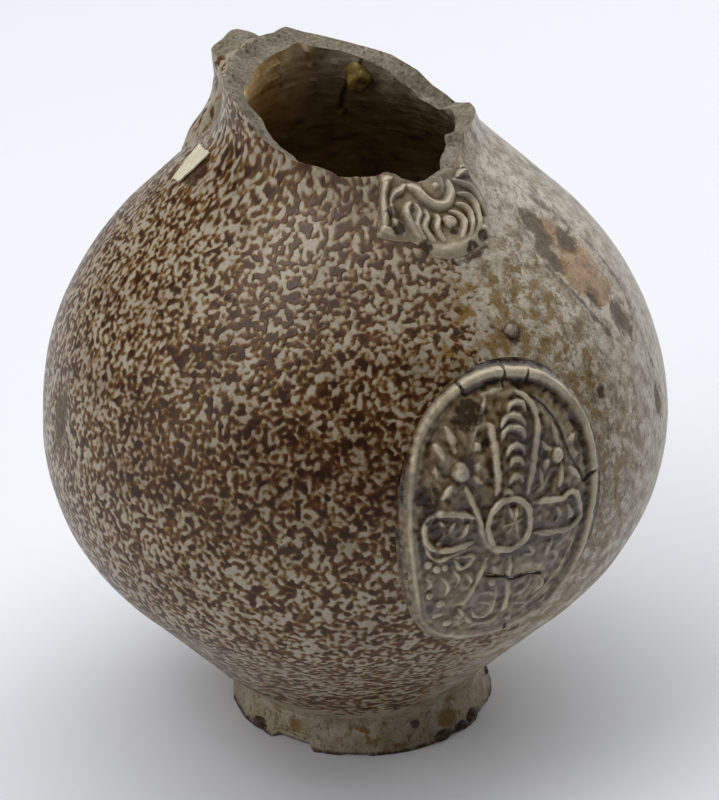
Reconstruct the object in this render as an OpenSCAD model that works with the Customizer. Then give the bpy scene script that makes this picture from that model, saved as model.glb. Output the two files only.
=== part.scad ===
// Salt-glazed stoneware jug with a moulded medallion and beard, broken off at the neck.
// Millimetres. The origin is the centre of the flat underside of the foot, +Z is up and -Y is the front.
// Angles round the jug count from the front, towards +X. Rises count along the wall, up from the belly line.

/* [Thrown body] */
// Diameter at the belly line
body_d = 150; // [140:1:165]
// Radius of the wall's curve above the belly line
upper_belly_r = 70; // [60:1:70]
// Radius of the wall's curve below the belly line
lower_belly_r = 51.5; // [46:0.5:58]
// Slope of the shoulder where its curve ends, from the upright
shoulder_angle = 44; // [40:1:48]
// Slope of the hip where its curve ends, from the upright
hip_angle = 42.5; // [39:0.5:46]
// Outer diameter of the neck
neck_d = 58; // [50:1:64]
// Radius of the hollow curve from the shoulder into the neck
neck_cove_r = 20; // [14:1:26]
// Thickness of the wall
wall_t = 5; // [4:0.25:6]
// Height of the inner floor above the underside
floor_t = 9.5; // [8.5:0.5:12]

/* [Foot] */
// Diameter of the foot at the underside
foot_d = 65; // [63:1:70]
// Diameter of the foot's waist
waist_d = 60; // [56:1:62]
// Height of the waist
foot_h = 7.8; // [6:0.5:12]
// Radius of the hollow curve from the waist into the hip
foot_cove_r = 3; // [2:0.5:8]
// Length of the chip in the foot's lower edge
chip_w = 15; // [8:1:20]
// Height of the chip
chip_h = 1.8; // [1:0.1:3]

/* [Broken rim] */
// Height by which the whole break is raised
rim_rise = 0; // [-1:0.1:4]
// Depth below the end of the neck curve at which the faces of the break meet on the axis
rim_dip = 15; // [14:0.5:22]
// Roughness of the break
rim_rough = 0.3; // [0:0.05:0.6]

/* [Refitted sherd] */
// Width of the glued joint round the sherd
sherd_joint = 0.25; // [0.15:0.05:0.5]
// Radius of the lump of old adhesive inside the joint
glue_r = 4.2; // [3:0.1:5]

/* [Medallion] */
// Side of the jug on which the medallion sits
medallion_side = -2; // [-15:0.5:15]
// Rise of its centre above the belly line
medallion_rise = 9.5; // [4:0.5:16]
// Lean of its long axis to the right
medallion_lean = 9.5; // [-15:0.5:15]
// Width across the raised frame
medallion_w = 48; // [42:1:54]
// Length across the raised frame
medallion_l = 66; // [58:1:70]
// Width of the clay edge outside the frame
medallion_edge = 3; // [2:0.25:4]
// Thickness of the pressed clay
medallion_t = 1.1; // [0.8:0.1:2]
// Height of the frame above the pressed clay
frame_relief = 1.5; // [0.8:0.1:2]
// Height of the figures above the pressed clay
figure_relief = 1.3; // [0.6:0.1:1.8]

/* [Beard] */
// Side of the jug on which the beard sits
beard_side = 4; // [-10:0.5:10]
// Width of the beard, as an angle round the neck
beard_sweep = 47; // [36:1:56]
// Rise of its lower tip above the belly line
beard_rise = 69.5; // [66:0.5:74]
// Thickness of the pressed clay
beard_t = 0.9; // [0.6:0.1:1.6]
// Height of the locks above the pressed clay
lock_relief = 1.5; // [0.8:0.1:2]

/* [Handle root] */
// Side of the jug on which the handle sits
handle_side = -174; // [-180:1:-165]
// Width of the strap
handle_w = 24; // [20:1:28]
// Thickness of the strap
handle_t = 14; // [12:0.5:16]
// Length of the root, from its broken end to where it runs out on the shoulder
handle_l = 28; // [25:1:31]
// Distance of the strap's outer face from the axis
handle_reach = 41; // [39:0.5:44]
// Height of the broken end above the end of the neck curve
handle_rise = 2; // [0:0.5:4]
// Fall of the break across the strap
handle_fall = 10; // [6:0.5:12]

/* [Adhering pieces] */
// Gap between the wall and what is stuck to it
luting_gap = 0.2; // [0.15:0.05:0.3]
// Thickness of the paper scrap
paper_t = 0.35; // [0.25:0.05:0.6]
// Height by which the loose edge of the paper stands up
paper_curl = 1.2; // [0:0.1:2]
// Radius of the base of the glaze drop
drop_r = 2.6; // [1.5:0.1:3.5]
// Height of the glaze drop
drop_h = 1.3; // [0.8:0.1:1.5]
// Bare wall between the glaze drop and the medallion
drop_gap = 1.9; // [1:0.1:6]
// Radius of the largest lump of kiln grit
grit_r = 2.4; // [1.5:0.1:3]

/* [Hidden] */
$fn = 120;
stone_grey = "#b3aa98";
glaze_brown = "#7d6a58";
arc_step = 4;
radian = 180 / PI;

// Stack of the wall, from the foot upwards
upper_axis_r = body_d / 2 - upper_belly_r;
lower_axis_r = body_d / 2 - lower_belly_r;
neck_r = neck_d / 2;
waist_r = waist_d / 2;
hip_top_r = lower_axis_r + lower_belly_r * cos(hip_angle);
hip_low_r = waist_r + foot_cove_r * (1 - cos(hip_angle));
hip_len = (hip_top_r - hip_low_r) / sin(hip_angle);
belly_z = foot_h + (foot_cove_r + lower_belly_r) * sin(hip_angle) + hip_len * cos(hip_angle);
shoulder_low_r = upper_axis_r + upper_belly_r * cos(shoulder_angle);
shoulder_top_r = neck_r + neck_cove_r * (1 - cos(shoulder_angle));
shoulder_len = (shoulder_low_r - shoulder_top_r) / sin(shoulder_angle);
shoulder_z = belly_z + upper_belly_r * sin(shoulder_angle);
neck_z = shoulder_z + shoulder_len * cos(shoulder_angle) + neck_cove_r * sin(shoulder_angle);

// Rises at which the wall changes its curve
upper_len = upper_belly_r * shoulder_angle / radian;
lower_len = lower_belly_r * hip_angle / radian;
cone_end = upper_len + shoulder_len;
cove_end = cone_end + neck_cove_r * shoulder_angle / radian;

// Radius, height and slope of the outer wall at a rise
function skin(s) =
    s < -lower_len ? skin_line(hip_top_r, belly_z - lower_belly_r * sin(hip_angle), s + lower_len, -hip_angle)
    : s < 0 ? skin_arc(lower_axis_r, lower_belly_r, s * radian / lower_belly_r)
    : s < upper_len ? skin_arc(upper_axis_r, upper_belly_r, s * radian / upper_belly_r)
    : s < cone_end ? skin_line(shoulder_low_r, shoulder_z, s - upper_len, shoulder_angle)
    : s < cove_end ? skin_cove((cove_end - s) * radian / neck_cove_r)
    : [neck_r, neck_z + s - cove_end, 0];
function skin_arc(axis_r, r, a) = [axis_r + r * cos(a), belly_z + r * sin(a), a];
function skin_line(r, z, run, slope) = [r - run * sin(slope), z + run * cos(slope), slope];
function skin_cove(a) = [neck_r + neck_cove_r * (1 - cos(a)), neck_z - neck_cove_r * sin(a), a];

// Point at a height h off the wall, and the rise of a given height on the neck
function polar(side, r, z) = [r * sin(side), -r * cos(side), z];
function on_skin(side, s, h) =
    let (w = skin(s)) polar(side, w[0] + h * cos(w[2]), w[1] + h * sin(w[2]));
function neck_rise(z) =
    z > neck_z ? cove_end + z - neck_z : cove_end - neck_cove_r * asin((neck_z - z) / neck_cove_r) / radian;

// Half section of the wall, moved outwards by off
function sweep(cx, cz, r, a0, a1) =
    let (n = ceil(abs(a1 - a0) / arc_step))
    [for (k = [0:n]) let (a = a0 + (a1 - a0) * k / n) [cx + r * cos(a), cz + r * sin(a)]];
function belly_to_neck(off) = concat(
    sweep(lower_axis_r, belly_z, lower_belly_r + off, -hip_angle, 0),
    sweep(upper_axis_r, belly_z, upper_belly_r + off, 0, shoulder_angle),
    sweep(neck_r + neck_cove_r, neck_z, neck_cove_r - off, 180 + shoulder_angle, 180),
    [[neck_r + off, neck_top_z]]);
function outer_half(off) = concat(
    [[foot_d / 2 + off, 0]],
    sweep(waist_r + foot_cove_r, foot_h, foot_cove_r - off, 180, 180 - hip_angle),
    belly_to_neck(off));
function inner_half(off) =
    let (hip_z = belly_z - (lower_belly_r + off) * sin(hip_angle))
    let (hip_r = lower_axis_r + (lower_belly_r + off) * cos(hip_angle))
    concat([[hip_r - (hip_z - floor_t) * tan(hip_angle), floor_t]], belly_to_neck(off));
function reversed(list) = [for (k = [len(list) - 1:-1:0]) list[k]];

// Line of the break, as [side, height above the end of the neck curve], with a rough edge
break_line = [[-180, 5.5], [-160, 6.7], [-130, 6.5], [-105, 5.4], [-85, 2.8], [-69, -1.9], [-55, -4.4],
              [-45, -5], [-35, -7], [-28, -7.3], [-17, -7.3], [-13, -6.8], [-8.5, -7.5], [-4, -9.2],
              [1, -10.4], [9, -10.3], [20, -9.9], [26, -7.8], [32, -6.2], [35.5, -4], [43, -4], [60, -4.9],
              [80, -7.3], [100, -12], [105, -10.2], [110, -8.9], [117, -5.4], [130, -2.6], [157, 0.9],
              [171, 3.3], [180, 5.5]];
rim_mid_z = neck_z + rim_rise;
rim_axis_z = rim_mid_z - rim_dip;
rim_top_z = rim_mid_z + max([for (p = break_line) p[1]]);
neck_top_z = rim_top_z + neck_r / 4;
function turn_to(a) = a - 360 * round(a / 360);
function roughness(side) =
    rim_rough * (sin(7 * side + 20) + 0.7 * sin(17 * side) + 0.6 * sin(29 * side + 70));
function rim_z(side) = rim_mid_z + lookup(turn_to(side), break_line) + roughness(side);

// Closed solid above the break, whose faces fall towards the axis
module above_break() {
    n = 72;
    reach = 2.4;
    lid_z = neck_top_z + neck_d;
    ring = [for (k = [0:n - 1]) k * 360 / n];
    low = [for (a = ring) polar(a, neck_r * reach, rim_axis_z + (rim_z(a) - rim_axis_z) * reach)];
    high = [for (a = ring) polar(a, neck_r * reach, lid_z)];
    function next(k) = (k + 1) % n;
    polyhedron(
        points = concat(low, high, [[0, 0, rim_axis_z]]),
        faces = concat(
            [for (k = [0:n - 1]) [2 * n, k, next(k)]],
            [for (k = [0:n - 1]) [k, n + k, next(k)]],
            [for (k = [0:n - 1]) [next(k), n + k, n + next(k)]],
            [[for (k = [n - 1:-1:0]) n + k]]));
}

// Outer form of the jug without its hollow, and the hollow by itself
module wall_form(off) {
    rotate_extrude() polygon(concat([[0, 0]], outer_half(off), [[0, neck_top_z]]));
}
module hollow_form(off) {
    rotate_extrude() polygon(concat([[0, floor_t]], inner_half(off - wall_t), [[0, neck_top_z]]));
}
module thrown_wall() {
    difference() {
        rotate_extrude()
            polygon(concat([[0, 0]], outer_half(0), reversed(inner_half(-wall_t)), [[0, floor_t]]));
        above_break();
    }
}

// Outline of the refitted sherd as [side, rise], and the cone of its joint faces from the axis
sherd_top = cove_end + neck_r;
function down_shoulder(share) = cone_end - share * shoulder_len;
sherd_outline = [[103, sherd_top], [101, down_shoulder(0.05)], [110, down_shoulder(0.6)],
                 [130, down_shoulder(0.8)], [155.5, down_shoulder(0.6)], [150.5, down_shoulder(0.05)],
                 [140, cove_end], [138.5, sherd_top]];
sherd_side = 127;
sherd_half_angle = 22;
module sherd_cone(shift) {
    n = len(sherd_outline);
    apex = [0, 0, neck_z + 0.8 * wall_t];
    stretch = 2;
    rim = [for (p = sherd_outline) apex + stretch * (on_skin(p[0], p[1], 0) - apex)];
    middle = apex + stretch * (on_skin(sherd_side, cone_end, 0) - apex);
    translate(shift * (middle - apex) / norm(middle - apex))
        polyhedron(
            points = concat([apex, middle], rim),
            faces = concat(
                [for (k = [0:n - 1]) [0, 2 + k, 2 + (k + 1) % n]],
                [for (k = [0:n - 1]) [1, 2 + (k + 1) % n, 2 + k]]));
}

module body() {
    chip_side = -62;
    chip_depth = 2.5;
    color(glaze_brown)
        difference() {
            thrown_wall();
            sherd_cone(0);
            rotate(chip_side)
                translate([-chip_w / 2, -foot_d / 2 - chip_depth, -chip_h])
                    rotate([-20, 0, 0]) cube([chip_w, 2 * chip_depth, 2 * chip_h]);
        }
}

module neck_sherd() {
    color(stone_grey)
        intersection() {
            thrown_wall();
            sherd_cone(sherd_joint / sin(sherd_half_angle));
        }
}

// Lumps of old adhesive along the inside of the joint, as [side, rise, share of the largest radius]
glue_lumps = [[144.5, cone_end + 0.6 * (cove_end - cone_end), 1], [154, down_shoulder(0.1), 0.55]];
module glue_bead() {
    color("#b39a4e")
        for (g = glue_lumps)
            intersection() {
                translate(on_skin(g[0], g[1], -wall_t)) sphere(glue_r * g[2]);
                hollow_form(-luting_gap);
            }
}

// Strap section with round, grooved edges, and its rings of [share of the length, width and thickness]
strap_points = 32;
strap_rings = [[0, 0.94, 0.5], [0.1, 0.96, 0.54], [0.22, 0.92, 0.7], [0.35, 0.88, 0.95], [0.5, 0.91, 1.05],
               [0.65, 0.99, 1.1], [0.82, 1.14, 1.2], [1, 1.32, 1.3]];
strap_lean = 0.16;
strap_peak = -0.2;
groove = 0.04;
function strap_edge(a) = sign(a) * pow(abs(a), 0.55);
function strap_break(x) =
    handle_fall * pow(max(0, (x - strap_peak) / (1 - strap_peak)), 1.3) + rim_rough * sin(300 * x);
module handle_root() {
    n = strap_points;
    m = len(strap_rings);
    top_z = neck_z + handle_rise;
    hollow = handle_t / 8;
    end_t = strap_rings[0][2] * handle_t;
    function fades(k) = max(0, 1 - 2.5 * strap_rings[k][0]);
    function section(k, t) =
        let (a = 360 * t / n, c = strap_edge(cos(a)), ring = strap_rings[k], drop = ring[0] * handle_l)
        let (depth = ring[2] * handle_t / 2 * (1 - strap_edge(sin(a))) + groove * handle_t * cos(540 * c))
        [handle_w / 2 * ring[1] * c, handle_reach + strap_lean * drop - depth,
         top_z - drop - fades(k) * strap_break(c)];
    color(glaze_brown)
        difference() {
            rotate(handle_side + 180)
                polyhedron(
                    points = concat(
                        [for (k = [0:m - 1], t = [0:n - 1]) section(k, t)],
                        [[0, handle_reach - end_t / 2, top_z - strap_break(0) - hollow],
                         [0, handle_reach + strap_lean * handle_l - handle_t / 2, top_z - handle_l]]),
                    faces = concat(
                        [for (k = [0:m - 2], t = [0:n - 1])
                            [k * n + t, k * n + (t + 1) % n, (k + 1) * n + t]],
                        [for (k = [0:m - 2], t = [0:n - 1])
                            [k * n + (t + 1) % n, (k + 1) * n + (t + 1) % n, (k + 1) * n + t]],
                        [for (t = [0:n - 1]) [m * n, (t + 1) % n, t]],
                        [for (t = [0:n - 1]) [m * n + 1, (m - 1) * n + t, (m - 1) * n + (t + 1) % n]]));
            wall_form(luting_gap);
        }
}

// Pressed relief: a carved front and a plain back, each a function of x and y from -1 to 1
module sprig(nx, ny, back_rings, front, back) {
    w = nx + 1;
    function ux(i) = 2 * i / nx - 1;
    function uy(j) = 2 * j / ny - 1;
    edge = concat(
        [for (i = [0:nx - 1]) [i, 0]],
        [for (j = [0:ny - 1]) [nx, j]],
        [for (i = [nx:-1:1]) [i, ny]],
        [for (j = [ny:-1:1]) [0, j]]);
    m = len(edge);
    front_n = w * (ny + 1);
    core = front_n + back_rings * m;
    function cell(i, j) = [j * w + i, j * w + i + 1, (j + 1) * w + i + 1, (j + 1) * w + i];
    function halves(q, rising) =
        rising ? [[q[0], q[2], q[1]], [q[0], q[3], q[2]]] : [[q[0], q[3], q[1]], [q[1], q[3], q[2]]];
    function front_edge(k) = edge[k % m][1] * w + edge[k % m][0];
    function back_edge(ring, k) = front_n + ring * m + k % m;
    polyhedron(
        points = concat(
            [for (j = [0:ny], i = [0:nx]) front(ux(i), uy(j))],
            [for (ring = [0:back_rings - 1], e = edge)
                let (share = 1 - ring / back_rings) back(share * ux(e[0]), share * uy(e[1]))],
            [back(0, 0)]),
        faces = concat(
            [for (j = [0:ny - 1], i = [0:nx - 1])
                each halves(cell(i, j), (2 * i + 1 - nx) * (2 * j + 1 - ny) > 0)],
            [for (k = [0:m - 1]) [front_edge(k), front_edge(k + 1), back_edge(0, k)]],
            [for (k = [0:m - 1]) [front_edge(k + 1), back_edge(0, k + 1), back_edge(0, k)]],
            [for (ring = [0:1:back_rings - 2], k = [0:m - 1])
                [back_edge(ring, k), back_edge(ring, k + 1), back_edge(ring + 1, k)]],
            [for (ring = [0:1:back_rings - 2], k = [0:m - 1])
                [back_edge(ring, k + 1), back_edge(ring + 1, k + 1), back_edge(ring + 1, k)]],
            [for (k = [0:m - 1]) [back_edge(back_rings - 1, k), back_edge(back_rings - 1, k + 1), core]]));
}

// Rounded ridge of half-width w at a distance d from its line, and distances to a line, a ring and an oval
function ridge(d, w) = abs(d) < w ? pow(cos(90 * d / w), 2) : 0;
function to_line(p, a, b) =
    let (t = max(0, min(1, (p - a) * (b - a) / ((b - a) * (b - a))))) norm(p - a - t * (b - a));
function to_oval(p, rx, ry) =
    let (k = norm([p[0] / rx, p[1] / ry]))
    k < 0.05 ? -min(rx, ry) : (k - 1) * k / norm([p[0] / (rx * rx), p[1] / (ry * ry)]);
function bearing(p) = atan2(p[1], p[0]);

// Figures of the medallion, on its own axes, as shares of the relief
function rosette(p, r, petals) =
    max(ridge(norm(p), 0.42 * r),
        0.75 * ridge(norm(p) - 0.68 * r, 0.36 * r) * pow(cos(petals / 2 * bearing(p)), 2));
function starred_disc(p, r, rays) =
    max(ridge(norm(p) - r, 1.3),
        norm(p) < r ? 0.35 + 0.3 * ridge(norm(p), 0.75 * r) * pow(cos(rays / 2 * bearing(p)), 2) : 0);
function beaded_lobe(p, rx, ry) =
    max(0.9 * ridge(to_oval(p, rx, ry), 1.2),
        max([for (k = [-1:1]) 0.8 * ridge(norm(p - [0.5 * rx * k, 0.12 * ry * k]), 1.7)]));
function crescent(p, r) = p[1] > -0.3 * r ? ridge(norm(p) - r, 1.2) : 0;
function crescent_stack(p) = max([for (k = [0:5]) crescent(p - [1, 8.8 + 3.3 * k], 2.3)]);
function upright(p) =
    max(ridge(to_line(p, [-5.2, 21], [-3.7, 5]), 1.1),
        ridge(to_line(p, [7, 21.5], [4.1, 5]), 1.1),
        ridge(to_line(p, [1.5, 28.5], [7, 21.5]), 1.1),
        crescent_stack(p));
function lower_leaf(p) =
    max(ridge(to_line(p, [0.9, -9.5], [4.2, -26]), 1.3),
        max([for (k = [0:3], m = [-1, 1])
            let (stem = [0.5 + 2 * m, -13 - 3.4 * k], tip = [m * (10 - 1.5 * k), -11.5 - 3.6 * k])
            0.8 * ridge(to_line(p, stem, tip), 1.3)]));
function foot_beads(p) = max([for (k = [-2:2]) 0.7 * ridge(norm(p - [3 * k, -27.5 + 0.35 * k * k]), 1.4)]);
function figures(p) =
    max(rosette(p - [-12.7, 10.8], 6.5, 8), rosette(p - [12.3, 12.7], 6.2, 8),
        starred_disc(p - [-0.2, -1.9], 5.8, 6),
        beaded_lobe(p - [-14.7, -3.4], 6.2, 4.7), beaded_lobe(p - [13, -1], 6.8, 4.2),
        upright(p), lower_leaf(p), foot_beads(p));

module medallion_sprig() {
    frame_w = 2;
    edge_t = 0.45;
    inner_line = -3.8;
    half = [medallion_w / 2, medallion_l / 2];
    pad = half + [medallion_edge, medallion_edge];
    figure_scale = [48 / medallion_w, 66 / medallion_l];
    function disc(x, y) = [pad[0] * x * sqrt(1 - y * y / 2), pad[1] * y * sqrt(1 - x * x / 2)];
    function place(p, h) =
        let (u = p[0] * cos(medallion_lean) + p[1] * sin(medallion_lean))
        let (s = medallion_rise + p[1] * cos(medallion_lean) - p[0] * sin(medallion_lean))
        on_skin(medallion_side + u * radian / skin(s)[0], s, h);
    function carved(p) =
        let (d = to_oval(p, half[0], half[1]), out = to_oval(p, pad[0], pad[1]))
        let (figure = d < -2.5 ? figures([p[0] * figure_scale[0], p[1] * figure_scale[1]]) : 0)
        edge_t + (medallion_t - edge_t) * min(1, -out / 2)
        + max(frame_relief * ridge(d, frame_w), 0.4 * figure_relief * ridge(d - inner_line, 0.9),
              figure_relief * figure);
    color(stone_grey)
        sprig(52, 52, 4,
              function(x, y) place(disc(x, y), luting_gap + carved(disc(x, y))),
              function(x, y) place(disc(x, y), luting_gap));
}

// Locks of the beard, by angle round the jug and rise above the beard's tip, in millimetres
function locks(p) =
    let (lip = [1.4, 17.2], from_lip = p - lip, far = norm(from_lip))
    let (strand = bearing([-from_lip[1], from_lip[0]]) + 10 * sin(28 * far))
    max(ridge(far - 5, 1.4) * (p[1] < lip[1] + 1 ? 1 : 0.6),
        far > 6 && p[1] < lip[1] + 6 ? pow(cos(strand * 5.5), 2) * min(1, (far - 6) / 2) : 0,
        0.7 * ridge(norm(from_lip - [0, 1]), 1.6));

module beard_sprig() {
    left_lift = 9;
    right_lift = 14;
    edge_t = 0.3;
    locks_r = skin(cone_end)[0];
    function low_rise(x) = beard_rise + (x < 0 ? left_lift * pow(-x, 1.3) : right_lift * pow(x, 4));
    function side(x) = beard_side + beard_sweep / 2 * x;
    function top_rise(x) =
        let (z = rim_z(side(x)), r = skin(neck_rise(z))[0])
        neck_rise(rim_axis_z + (z - rim_axis_z) * r / neck_r) - luting_gap;
    function rise(x, y) = low_rise(x) + (top_rise(x) - low_rise(x)) * (y + 1) / 2;
    function carved(x, y) =
        let (rim_in = min(1, 6 * (1 - abs(x)), 4 * (y + 1)))
        edge_t + rim_in * (beard_t - edge_t)
        + rim_in * lock_relief * locks([x * beard_sweep / 2 / radian * locks_r, rise(x, y) - beard_rise]);
    color(stone_grey)
        sprig(40, 34, 4,
              function(x, y) on_skin(side(x), rise(x, y), luting_gap + carved(x, y)),
              function(x, y) on_skin(side(x), rise(x, y), luting_gap));
}

// Drop of thick glaze, a shallow cap cut off by the wall
module glaze_drop() {
    drop_side = 8;
    drop_rise = medallion_rise + medallion_l / 2 + medallion_edge + drop_gap + drop_r;
    ball_r = (drop_r * drop_r + drop_h * drop_h) / (2 * drop_h);
    $fn = 360;
    color("#5d5042")
        difference() {
            translate(on_skin(drop_side, drop_rise, luting_gap + drop_h - ball_r)) sphere(ball_r);
            wall_form(luting_gap);
        }
}

// Torn scrap of paper on the shoulder, between four corners given as [side, rise]
module paper_scrap() {
    corners = [[-116, down_shoulder(0.31)], [-109, down_shoulder(0.24)], [-105.5, down_shoulder(-0.11)],
               [-122.5, down_shoulder(0)]];
    function mix(a, b, t) = a + (b - a) * t;
    function at(x, y) =
        mix(mix(corners[0], corners[1], (x + 1) / 2), mix(corners[3], corners[2], (x + 1) / 2), (y + 1) / 2);
    function lift(x) = luting_gap + paper_curl * pow(max(0, x), 3);
    color("#ded6bd")
        sprig(12, 8, 4,
              function(x, y) let (p = at(x, y)) on_skin(p[0], p[1], lift(x) + paper_t),
              function(x, y) let (p = at(x, y)) on_skin(p[0], p[1], lift(x)));
}

// Lumps of kiln grit on the foot, as [side, share of the foot's height, share of the largest radius]
grit_lumps = [[33, 0.65, 0.7], [29, 0.2, 1], [20, 0.15, 0.7], [9, 0.12, 0.85], [-82, 0.18, 0.9]];
module kiln_grit() {
    ground_gap = 0.2;
    flare = foot_d / 2 - waist_r;
    color("#4b4440")
        for (g = grit_lumps)
            difference() {
                translate(polar(g[0], foot_d / 2 - flare * g[1] - 0.2 * grit_r, foot_h * g[1]))
                    sphere(grit_r * g[2]);
                wall_form(luting_gap);
                translate([-foot_d, -foot_d, ground_gap - foot_d]) cube([2 * foot_d, 2 * foot_d, foot_d]);
            }
}

body();
neck_sherd();
glue_bead();
handle_root();
beard_sprig();
medallion_sprig();
glaze_drop();
paper_scrap();
kiln_grit();
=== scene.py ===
# %% [markdown]
# # A salt-glazed stoneware jug, broken at the neck
#
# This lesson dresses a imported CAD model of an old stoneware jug. The CAD solids hold the sizes and stay where
# they are. Each step below makes one finer mesh that stands for a solid, or one finish that the meshes wear.
# Positions are written as a maker would give them: a side, counted in degrees from the front, and a rise, counted
# in millimetres along the wall from the widest line.

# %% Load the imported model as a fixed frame
import math
from functools import partial

import bpy
import numpy as np
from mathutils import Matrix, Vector, noise


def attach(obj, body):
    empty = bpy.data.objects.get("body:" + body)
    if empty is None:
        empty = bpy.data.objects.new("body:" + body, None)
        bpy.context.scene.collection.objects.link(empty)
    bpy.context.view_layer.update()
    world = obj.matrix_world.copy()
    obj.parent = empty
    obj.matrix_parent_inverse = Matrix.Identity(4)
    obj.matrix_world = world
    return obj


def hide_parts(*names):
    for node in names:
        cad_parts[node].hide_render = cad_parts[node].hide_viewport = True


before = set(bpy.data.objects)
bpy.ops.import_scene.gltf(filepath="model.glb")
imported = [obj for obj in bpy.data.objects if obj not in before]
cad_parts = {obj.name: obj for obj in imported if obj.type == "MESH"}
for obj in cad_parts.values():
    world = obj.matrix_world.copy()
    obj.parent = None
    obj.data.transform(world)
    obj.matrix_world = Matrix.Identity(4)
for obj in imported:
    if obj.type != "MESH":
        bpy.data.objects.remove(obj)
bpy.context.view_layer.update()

mm = 0.001
print("CAD nodes:", ", ".join(sorted(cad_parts)))

# %% [markdown]
# ## The camera
#
# The picture was taken from a little above and to the left of the front, with a long lens, so the jug shows
# hardly any perspective. The lens is worked out from the picture's own frame of 719 by 800 pixels: one millimetre
# at the jug covers about four pixels.

# %% Set up the camera
picture_w, picture_h = 719, 800
camera_side, camera_up = math.radians(-30), math.radians(29)
camera_far = 1000 * mm
focal_px, sensor = 4162, 36
aim_right, aim_up = 0.96, 81
camera_right = Vector((math.cos(camera_side), math.sin(camera_side), 0))
aim = camera_right * aim_right * mm + Vector((0, 0, aim_up * mm))
towards = Vector((math.sin(camera_side) * math.cos(camera_up),
                  -math.cos(camera_side) * math.cos(camera_up),
                  math.sin(camera_up)))
bpy.ops.object.select_all(action="DESELECT")
bpy.ops.object.camera_add(location=aim + towards * camera_far)
camera = bpy.context.object
camera.rotation_mode = "QUATERNION"
camera.rotation_quaternion = (-towards).to_track_quat("-Z", "Y")
camera.data.sensor_width = sensor
camera.data.lens = focal_px * sensor / max(picture_w, picture_h)
camera.data.clip_end = 10
bpy.context.scene.camera = camera
bpy.context.scene.view_settings.view_transform = "Standard"
print(f"lens {camera.data.lens:.0f} mm")

# %% [markdown]
# ## The wall's curve
#
# A thrown pot is a curve turned round an axis. The curve here is two belly arcs that run into straight shoulders
# and hips, and a hollow arc at the neck. Writing it as a formula lets every piece that is stuck to the wall, such
# as the medallion, be modelled flat and then laid on the clay.

# %% The wall as a formula
belly_r = 75
upper_r, lower_r = 70, 51.5
shoulder_slope, hip_slope = math.radians(44), math.radians(42.5)
neck_r, neck_cove = 29, 20
waist_r, foot_r, foot_h, foot_cove = 30, 32.5, 7.8, 3
wall_t, floor_t = 5, 9.5

hip_top_r = belly_r - lower_r * (1 - math.cos(hip_slope))
hip_len = (hip_top_r - waist_r - foot_cove * (1 - math.cos(hip_slope))) / math.sin(hip_slope)
belly_z = foot_h + (foot_cove + lower_r) * math.sin(hip_slope) + hip_len * math.cos(hip_slope)
shoulder_r = belly_r - upper_r * (1 - math.cos(shoulder_slope))
shoulder_len = (shoulder_r - neck_r - neck_cove * (1 - math.cos(shoulder_slope))) / math.sin(shoulder_slope)
shoulder_z = belly_z + upper_r * math.sin(shoulder_slope)
neck_z = shoulder_z + shoulder_len * math.cos(shoulder_slope) + neck_cove * math.sin(shoulder_slope)
upper_len, lower_len = upper_r * shoulder_slope, lower_r * hip_slope
cone_end = upper_len + shoulder_len
cove_end = cone_end + neck_cove * shoulder_slope
hip_end = -lower_len - hip_len
waist_rise = hip_end - foot_cove * hip_slope


def skin(s):
    """Radius, height and slope of the outer wall at rises s."""
    s = np.asarray(s, float)
    up, low = s / upper_r, s / lower_r
    neck = np.clip((cove_end - s) / neck_cove, 0, None)
    foot = np.clip((s - waist_rise) / foot_cove, 0, None)
    run_up, run_down = s - upper_len, s + lower_len
    where = [s < hip_end, s < -lower_len, s < 0, s < upper_len, s < cone_end]
    r = np.select(where, [waist_r + foot_cove * (1 - np.cos(foot)),
                          hip_top_r + run_down * math.sin(hip_slope),
                          belly_r - lower_r * (1 - np.cos(low)),
                          belly_r - upper_r * (1 - np.cos(up)),
                          shoulder_r - run_up * math.sin(shoulder_slope)],
                  neck_r + neck_cove * (1 - np.cos(neck)))
    z = np.select(where, [foot_h + foot_cove * np.sin(foot),
                          belly_z - lower_r * math.sin(hip_slope) + run_down * math.cos(hip_slope),
                          belly_z + lower_r * np.sin(low),
                          belly_z + upper_r * np.sin(up),
                          shoulder_z + run_up * math.cos(shoulder_slope)],
                  neck_z - neck_cove * np.sin(neck) + np.clip(s - cove_end, 0, None))
    slope = np.select(where, [-foot, -hip_slope, low, up, shoulder_slope], neck)
    return r, z, slope


def on_wall(side, s, off=0.0):
    """Points at a height off the wall, for sides in degrees and rises in millimetres."""
    r, z, slope = skin(s)
    reach, turn = r + off * np.cos(slope), np.radians(side)
    place = reach * np.sin(turn), -reach * np.cos(turn), z + off * np.sin(slope)
    return np.stack(np.broadcast_arrays(*place), -1)


def rise_at(z, off=0.0):
    """Rise of the point that lies at a height z on the wall, or on a skin moved outwards by off."""
    rises = np.linspace(waist_rise, cove_end + neck_r, 2000)
    _, height, slope = skin(rises)
    return np.interp(z, height + off * np.sin(slope), rises)


print(f"belly line at {belly_z:.1f} mm, neck at {neck_z:.1f} mm")

# %% [markdown]
# ## Small tools
#
# A handful of helpers keep the cells short: one picks a single object, two read and write its points as an array
# in millimetres, one paints values on the points for the materials to read, two give smooth noise, and one eases
# a value from 0 to 1 between two limits.

# %% Helpers for meshes
def pick(obj):
    bpy.ops.object.select_all(action="DESELECT")
    obj.select_set(True)
    bpy.context.view_layer.objects.active = obj


def edit(obj):
    pick(obj)
    bpy.ops.object.mode_set(mode="EDIT")
    bpy.ops.mesh.select_all(action="SELECT")


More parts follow.
